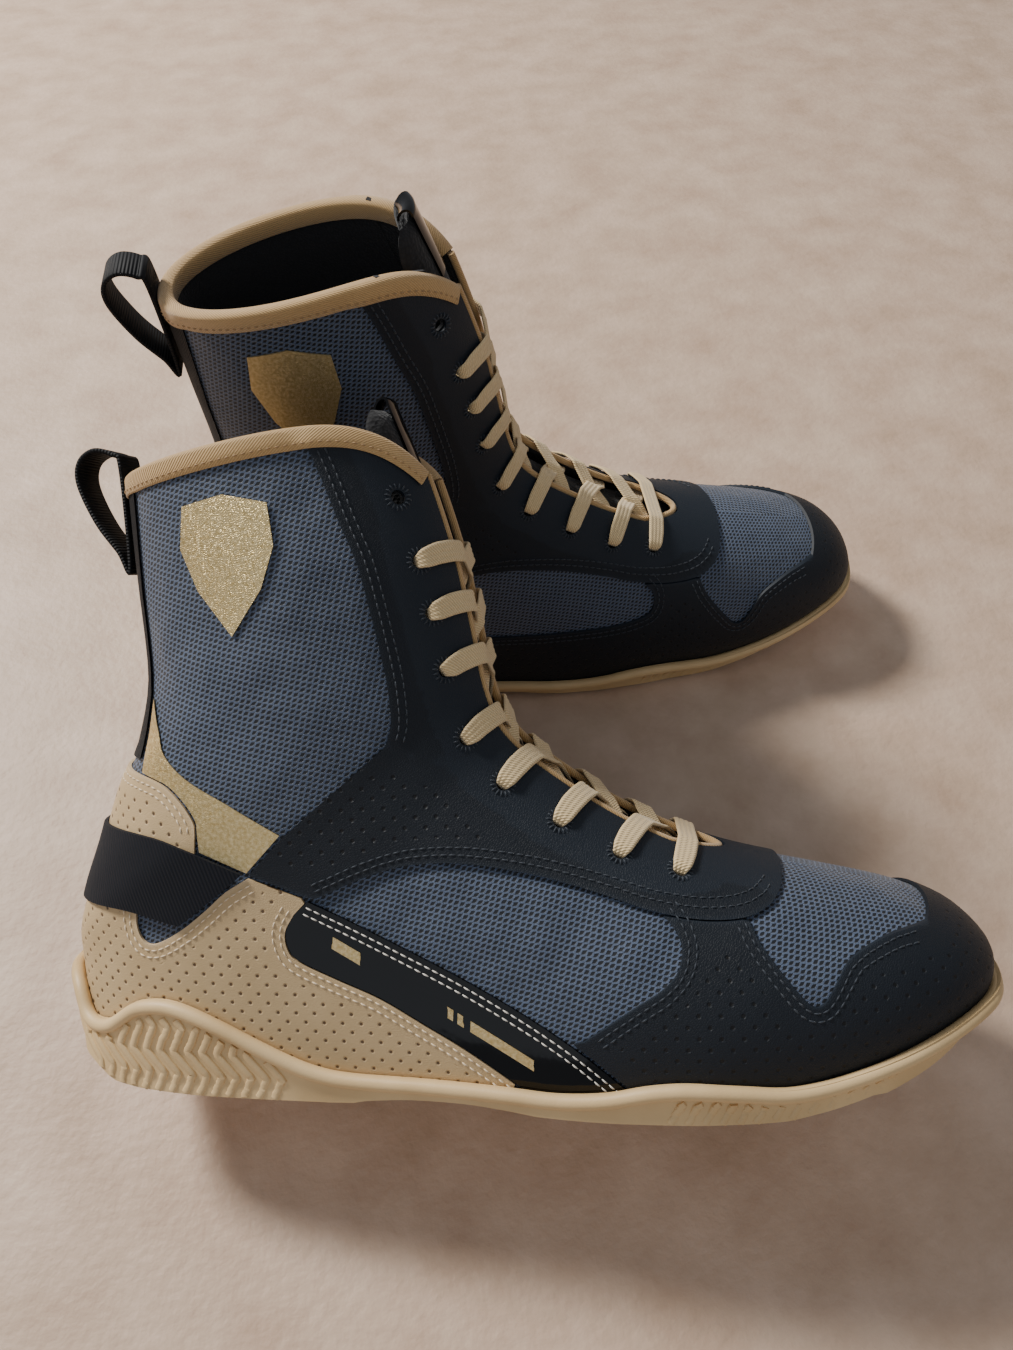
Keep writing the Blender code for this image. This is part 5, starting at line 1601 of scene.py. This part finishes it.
# Stitch rows.
overHeight = layers["overOut"] + 0.05
creamSeams = [
    seam("bandLow", (-1,), (2.0, 4.3), (60.0, 20.0), overHeight, (0.0, 0.93)),
    seam("notch", (-1, 1), (2.0, 4.3), (45.0, 40.0), overHeight, (0.0, 1.0)),
    seam("tab", (-1, 1), (2.0, 4.3), (40.0, 80.0), overHeight),
]
onBothBoots("creamStitches", seamMesh("creamStitches", creamSeams), materials["creamThread"])
whiteSeams = [seam("bandTop", (-1,), (1.9, 4.1), (100.0, 40.0), overHeight, (0.0, 0.97))]
onBothBoots("whiteStitches", seamMesh("whiteStitches", whiteSeams), materials["whiteThread"])
navySeams = [
    seam("stayLow", (-1, 1), (2.0, 4.2), (150.0, 110.0), overHeight, (0.12, 0.97)),
    seam("shaftMesh", (-1, 1), (2.0, 4.2), (125.0, 150.0), overHeight, (0.04, 0.97)),
    seam("toeMesh", (-1, 1), (2.0, 4.2), (240.0, 20.0), overHeight, (0.02, 0.97)),
    seam("quarterRight", (-1,), (2.0, 4.2), (230.0, 35.0), overHeight, (0.02, 0.97)),
    seam("innerMesh", (1,), (2.0, 4.2), (150.0, 20.0), overHeight, (0.02, 0.97)),
]
onBothBoots("navyStitches", seamMesh("navyStitches", navySeams), materials["navyThread"])
print("stitches are made")

# Carried-over pieces get the same cloths.
carried = {"eyelet_facing_lateral": "lining", "eyelet_facing_medial": "lining",
           "insole": "lining", "lasting_board": "board"}
for foot in ("left", "right"):
    for node, key in carried.items():
        cadPiece = frame["nodes"][foot + "_" + node]
        cadPiece.data.materials.clear()
        cadPiece.data.materials.append(materials[key])

bpy.data.collections.remove(workShelf)

# Floor: a large sheet of pale mottled paper.
floorSet = {"size": 6.0, "dark": (0.47, 0.32, 0.22), "light": (0.64, 0.475, 0.355)}
floorMesh = bpy.data.meshes.new("floor")
reach = floorSet["size"] / 2.0
corners = [(-reach, -reach, 0), (reach, -reach, 0), (reach, reach, 0), (-reach, reach, 0)]
floorMesh.from_pydata(corners, [], [(0, 1, 2, 3)])
floor = bpy.data.objects.new("floor", floorMesh)
bpy.context.scene.collection.objects.link(floor)
material, tree, shader, place = startMaterial("floorPaper", 0.55)
where = bodyPlace(tree, 1.0)
clouds = noiseAt(tree, where, 26.0, 8.0, 0.62)
setColour(tree, shader, blendColour(tree, ramp(tree, clouds, 0.3, 0.7), floorSet["dark"], floorSet["light"]))
fine = noiseAt(tree, where, 240.0, 4.0)
bump(tree, shader, fine, 0.5)
floorMesh.materials.append(material)

# A broad soft window light from behind left, a weak fill and a pale surrounding.
lightSet = {
    "window": {"size": 0.5, "power": 88.0, "place": (-1.35, 1.25, 1.7), "colour": (1.0, 0.975, 0.94)},
    "fill": {"size": 1.6, "power": 5.0, "place": (-0.5, -1.6, 1.3), "colour": (0.86, 0.92, 1.0)},
    "sky": ((0.88, 0.91, 0.97), 0.36),
}
for name in ("window", "fill"):
    settings = lightSet[name]
    data = bpy.data.lights.new(name, "AREA")
    data.shape = "SQUARE"
    data.size = settings["size"]
    data.energy = settings["power"]
    data.color = settings["colour"]
    lamp = bpy.data.objects.new(name, data)
    bpy.context.scene.collection.objects.link(lamp)
    aim = Vector(settings["place"])
    lamp.matrix_world = Matrix.Translation(aim) @ aim.to_track_quat("Z", "Y").to_matrix().to_4x4()
world = bpy.data.worlds.new("surrounding")
world.use_nodes = True
background = world.node_tree.nodes["Background"]
background.inputs["Color"].default_value = (*lightSet["sky"][0], 1.0)
background.inputs["Strength"].default_value = lightSet["sky"][1]
bpy.context.scene.world = world
print("floor and lights are set")
